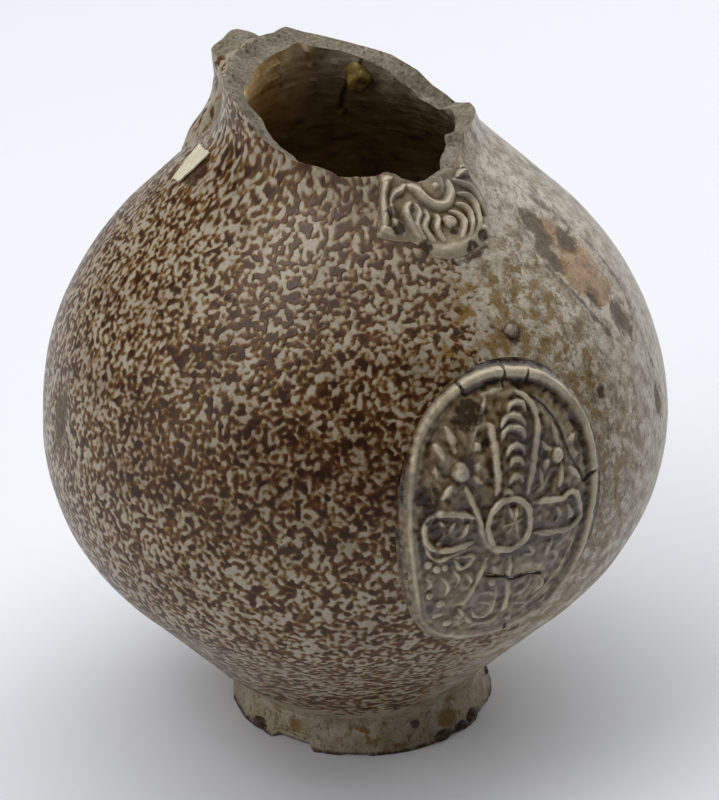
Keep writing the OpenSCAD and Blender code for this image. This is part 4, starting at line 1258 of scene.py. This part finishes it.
# %% Pull the strap
handle_side, handle_w, handle_t, handle_l = -174, 24, 14, 28
handle_reach, handle_rise, handle_fall = 41, 2, 10
strap_lean, strap_peak, groove, groove_waves, strap_fillet = 0.16, -0.2, 0.04, 540, 4.5
left_fall, left_from, tear_fade, tear_dip, sunk_depth = 3.2, 0.25, 2.5, 0.5, 0.8
strap_grain, strap_swell = [(0.5, 1.6, 12), (0.7, 5, 13)], 0.25
# Rings as share of the length, width and thickness
strap_rings = [(0, 0.94, 0.5), (0.1, 0.96, 0.85), (0.22, 0.92, 0.98), (0.35, 0.88, 1), (0.5, 0.91, 1.05),
               (0.65, 0.99, 1.1), (0.82, 1.14, 1.2), (1, 1.32, 1.3)]
strap_levels, cap_levels = 44, 6

bpy.ops.object.select_all(action="DESELECT")
bpy.ops.mesh.primitive_circle_add(vertices=112, radius=mm)
handle = bpy.context.object
handle.name = "handle_stump"
edit(handle)
for _ in range(strap_levels):
    bpy.ops.mesh.extrude_edges_move(TRANSFORM_OT_translate={"value": (0, 0, -mm)})
bpy.ops.mesh.edge_face_add()
bpy.ops.mesh.poke()
bpy.ops.mesh.select_all(action="DESELECT")
bpy.ops.mesh.select_non_manifold()
for k in range(cap_levels):
    bpy.ops.mesh.extrude_edges_move(TRANSFORM_OT_translate={"value": (0, 0, mm)})
    inwards = (cap_levels - k - 0.9) / (cap_levels - k)
    bpy.ops.transform.resize(value=(inwards, inwards, 1), center_override=(0, 0, 0))
bpy.ops.mesh.merge(type="CENTER")
close_up(handle)
print("tube of", len(handle.data.vertices), "points")

# %% [markdown]
# A strap's section is a flat oval with a few grooves from the fingers that pulled it. The upper end slopes down
# to both sides, as clay tears, and a fillet of clay joins the strap to the wall. What would hang behind the wall
# is drawn out to just under its skin.

# %% Shape the strap
level = get_points(handle)
turn = np.arctan2(level[:, 1], level[:, 0])
inward = np.hypot(level[:, 0], level[:, 1])
share = np.clip(-level[:, 2] / strap_levels, 0, 1)


def strap_edge(a):
    """Squares a round section off towards a flat strap."""
    return np.sign(a) * np.abs(a) ** 0.55


ring_w, ring_t = (np.interp(share, [r[0] for r in strap_rings], [r[k] for r in strap_rings]) for k in (1, 2))
across = strap_edge(np.cos(turn)) * inward
out_share = 1 - strap_edge(np.sin(turn)) * inward
drop = share * handle_l
waves = np.cos(np.radians(groove_waves * across))
deep = ring_t * handle_t / 2 * out_share + groove * handle_t * waves * inward
peak = handle_fall * np.clip((across - strap_peak) / (1 - strap_peak), 0, None) ** 1.3
peak += left_fall * np.clip((-across - left_from) / (1 - left_from), 0, None) ** 2
up = neck_z + handle_rise - drop - np.clip(1 - tear_fade * share, 0, 1) * peak
back = handle_reach + strap_lean * drop - deep
clear = np.clip(back - skin(rise_at(up))[0], 0, None)
blend = strap_fillet * np.exp(-(clear / strap_fillet) ** 2) * np.sign(across) * np.abs(across) ** 2
strap = np.column_stack([handle_w / 2 * ring_w * across + blend * ease(share, 0, 0.12), back, up])
broken = level[:, 2] > 0.5
strap[broken, 2] += rough(strap[broken], strap_grain) - tear_dip * (1 - inward[broken])
strap += strap_swell * lumps(strap, 6, 14)[:, None] * ~broken[:, None]
turned = math.radians(handle_side + 180)
c, n = math.cos(turned), math.sin(turned)
strap[:, :2] = np.column_stack([strap[:, 0] * c - strap[:, 1] * n, strap[:, 0] * n + strap[:, 1] * c])
far = np.hypot(strap[:, 0], strap[:, 1])
sunk = skin(rise_at(strap[:, 2]))[0] - sunk_depth
strap[:, :2] *= (np.maximum(far, sunk) / far)[:, None]
set_points(handle, strap)
print("strap from", round(up.min(), 1), "to", round(strap[:, 2].max(), 1), "mm")

# %% [markdown]
# The strap wears the jug's glaze, with brown in its grooves. Only the torn end is bare clay.

# %% Glaze the strap
for finish in (tiger_glaze, bare_clay):
    handle.data.materials.append(finish)
for face in handle.data.polygons:
    face.material_index = int(all(level[v, 2] > -0.5 for v in face.vertices))
edit(handle)
close_up(handle)
strap_wash, strap_ochre, strap_stain = 0.7, 0.25, 0.55
paint(handle, wash=np.full(len(up), strap_wash), ochre=np.full(len(up), strap_ochre),
      stain=strap_stain * ease(waves, 0.2, 0.9))
hand_over(handle, "handle_root", angle=50)

# %% [markdown]
# ## Small things that stuck
#
# Kiln life left a drop of glass above the medallion and grains of sand on the foot. A later owner left glue
# inside the neck and a scrap of paper on the shoulder. Each lump is a sphere with a bit of noise, set on the wall
# or the foot.

# %% A lump of something
def lump(name, finish, spots, bumpy, seed):
    """Joins noisy spheres, each with its place on the jug given by a function of points in the unit sphere."""
    made = []
    for place in spots:
        bpy.ops.object.select_all(action="DESELECT")
        bpy.ops.mesh.primitive_ico_sphere_add(subdivisions=5, radius=mm)
        ball = bpy.context.object
        co = get_points(ball)
        set_points(ball, place(co * (1 + bumpy * lumps(co, 0.8, seed + len(made)))[:, None]))
        made.append(ball)
    for ball in made:
        ball.select_set(True)
    if len(made) > 1:
        bpy.ops.object.join()
    obj = bpy.context.object
    obj.name = name
    obj.data.materials.append(finish)
    edit(obj)
    return close_up(obj)


def on_spot(at_side, at_rise, r, height, base=0.0, outwards=1):
    """Lays a unit sphere on the wall as a lump of a radius and a height, with its lower half flattened."""
    def place(co):
        s = at_rise + r * co[:, 1]
        off = base + outwards * np.where(co[:, 2] > 0, height, 0.4) * co[:, 2]
        return on_clay(at_side + np.degrees(r * co[:, 0] / skin(s)[0]), s, off)
    return place


grit_clear = 0.15


def on_foot(at_side, share, r):
    """Sets a unit sphere against the foot, longer round the foot than outwards or up."""
    turn, reach = math.radians(at_side), foot_r - (foot_r - waist_r) * share - 0.5 * r
    outwards = np.array([math.sin(turn), -math.cos(turn), 0])
    sideways = np.array([math.cos(turn), math.sin(turn), 0])
    axes = np.array([0.8 * outwards, 1.4 * sideways, [0, 0, 0.8]])

    def place(co):
        ball = reach * outwards + [0, 0, foot_h * share] + r * co @ axes
        ball[:, 2] = np.maximum(ball[:, 2], grit_clear)
        return ball
    return place


# %% [markdown]
# The drop is dark glass with a paler middle, which is a painted highlight.

# %% The drop of glaze
drop_side, highlight_side, drop_r, drop_h, drop_share, drop_gap = 8.4, 8, 2.6, 1.3, 0.68, 1.9
drop_rise = medallion_rise + frame_l + clay_edge + drop_gap + drop_r
glass = lump("glaze_bead", glass_drop, [on_spot(drop_side, drop_rise, drop_share * drop_r, drop_h)], 0.12, 20)
# Painted highlight: the height value lightens the drop round a point a little left of its top
from_highlight = np.linalg.norm(get_points(glass) - on_wall(highlight_side, drop_rise, drop_h), axis=1)
paint(glass, height=0.3 * ease(from_highlight, 1.8, 0.5))
hand_over(glass, "glaze_drop", angle=60)

# %% [markdown]
# The glue was pressed out of the sherd's joint on the inside. The grit is a handful of kiln sand that melted on
# to the foot's edge.

# %% Glue and grit
glue_r, grit_r, grit_share = 4.2, 2.4, 0.9
# Blobs as side, rise, and their radius and height as shares of glue_r
glue_spots = [(144.5, cone_end + 0.6 * (cove_end - cone_end), 0.8, 0.7),
              (154, cone_end - 0.1 * shoulder_len, 0.5, 0.4)]
blobs = [on_spot(at_side, s, r * glue_r, h * glue_r, -wall_t, -1) for at_side, s, r, h in glue_spots]
glue = lump("glue_blobs", old_glue, blobs, 0.3, 22)
hand_over(glue, "glue_bead", angle=60)

# Grains as side, share of the foot's height and size
grit_spots = [(60, 0.5, 0.75), (29, 0.2, 1), (20, 0.15, 0.7), (9, 0.12, 0.85), (-82, 0.18, 0.9)]
grains = [on_foot(at_side, share, grit_r * size * grit_share) for at_side, share, size in grit_spots]
grit = lump("kiln_grains", kiln_sand, grains, 0.35, 26)
hand_over(grit, "kiln_grit", angle=60)

# %% [markdown]
# The scrap of paper lies on the shoulder near the handle. It starts as the same folded tablet as the ornaments.
# Its four corners are places on the wall, noise tears its edges, and one side lifts a little.

# %% Paper scrap
paper_corners = np.array([(-116, cone_end - 0.31 * shoulder_len), (-109, cone_end - 0.24 * shoulder_len),
                          (-105.5, cone_end + 0.11 * shoulder_len), (-122.5, cone_end)])
paper_t, paper_curl, paper_gap = 0.35, 0.25, 0.05
paper = clay_tablet("paper_scrap_torn", 72, 48)
x, y, front = tablet_grid(paper)
torn = 6 * np.column_stack([x, y, 0 * x])
x = x * (1.03 + 0.06 * lumps(torn, 1.5, 30))
y = y * (1.02 + 0.1 * lumps(torn, 1.5, 31))
low = paper_corners[0] + (paper_corners[1] - paper_corners[0]) * (x[:, None] + 1) / 2
high = paper_corners[3] + (paper_corners[2] - paper_corners[3]) * (x[:, None] + 1) / 2
at_side, s = (low + (high - low) * (y[:, None] + 1) / 2).T
off = paper_gap + paper_curl * np.clip(x, 0, 1) ** 3 + np.where(front, paper_t, 0) + 0.1 * lumps(torn, 2.5, 32)
set_points(paper, on_clay(at_side, s, off))
paper.data.materials.append(old_paper)
hand_over(paper, "paper_scrap", angle=60)

# %% [markdown]
# ## The studio
#
# The jug stands on a wide sheet of white paper under soft lamps. A large one hangs above and slightly behind it,
# so the shadow is soft and lies all round the foot. A small one at the front left gives the glaze its lights, and
# weaker ones at both sides fill in, so that the dark glaze keeps its modelling.

# %% Paper floor, lamps and air
bpy.ops.object.select_all(action="DESELECT")
bpy.ops.mesh.primitive_plane_add(size=4)
floor = bpy.context.object
floor.name = "studio_paper"
# To the eye: an even, matt, slightly cool white
paper_white, _, paper_shader, _ = new_finish("studio_paper", 0.9, 0.1)
plug(paper_shader, {"Base Color": "#eef0f6"})
floor.data.materials.append(paper_white)


def soft_box(name, place, aim_z, size, power):
    bpy.ops.object.select_all(action="DESELECT")
    bpy.ops.object.light_add(type="AREA", location=place)
    lamp = bpy.context.object
    lamp.name = name
    lamp.data.shape, lamp.data.energy = "RECTANGLE", power
    lamp.data.size, lamp.data.size_y = size
    lamp.rotation_mode = "QUATERNION"
    lamp.rotation_quaternion = (Vector((0, 0, aim_z)) - Vector(place)).to_track_quat("-Z", "Y")


# Place, height that it is aimed at and size in metres, and power in watts
soft_box("top_box", (0.06, 0.27, 1.15), 0.05, (1.9, 1.2), 14.8)
soft_box("key_box", (-0.7, -0.15, 1), 0.08, (0.55, 0.55), 2.7)
soft_box("left_box", (-1.2, 0.1, 0.5), 0.08, (0.8, 0.8), 3.8)
soft_box("right_box", (1.1, 0.2, 0.5), 0.08, (0.8, 0.8), 4.2)
world = bpy.data.worlds.new("studio_air")
world.use_nodes = True
plug(world.node_tree.nodes["Background"], {"Color": "#eef1f7", "Strength": 0.085})
bpy.context.scene.world = world
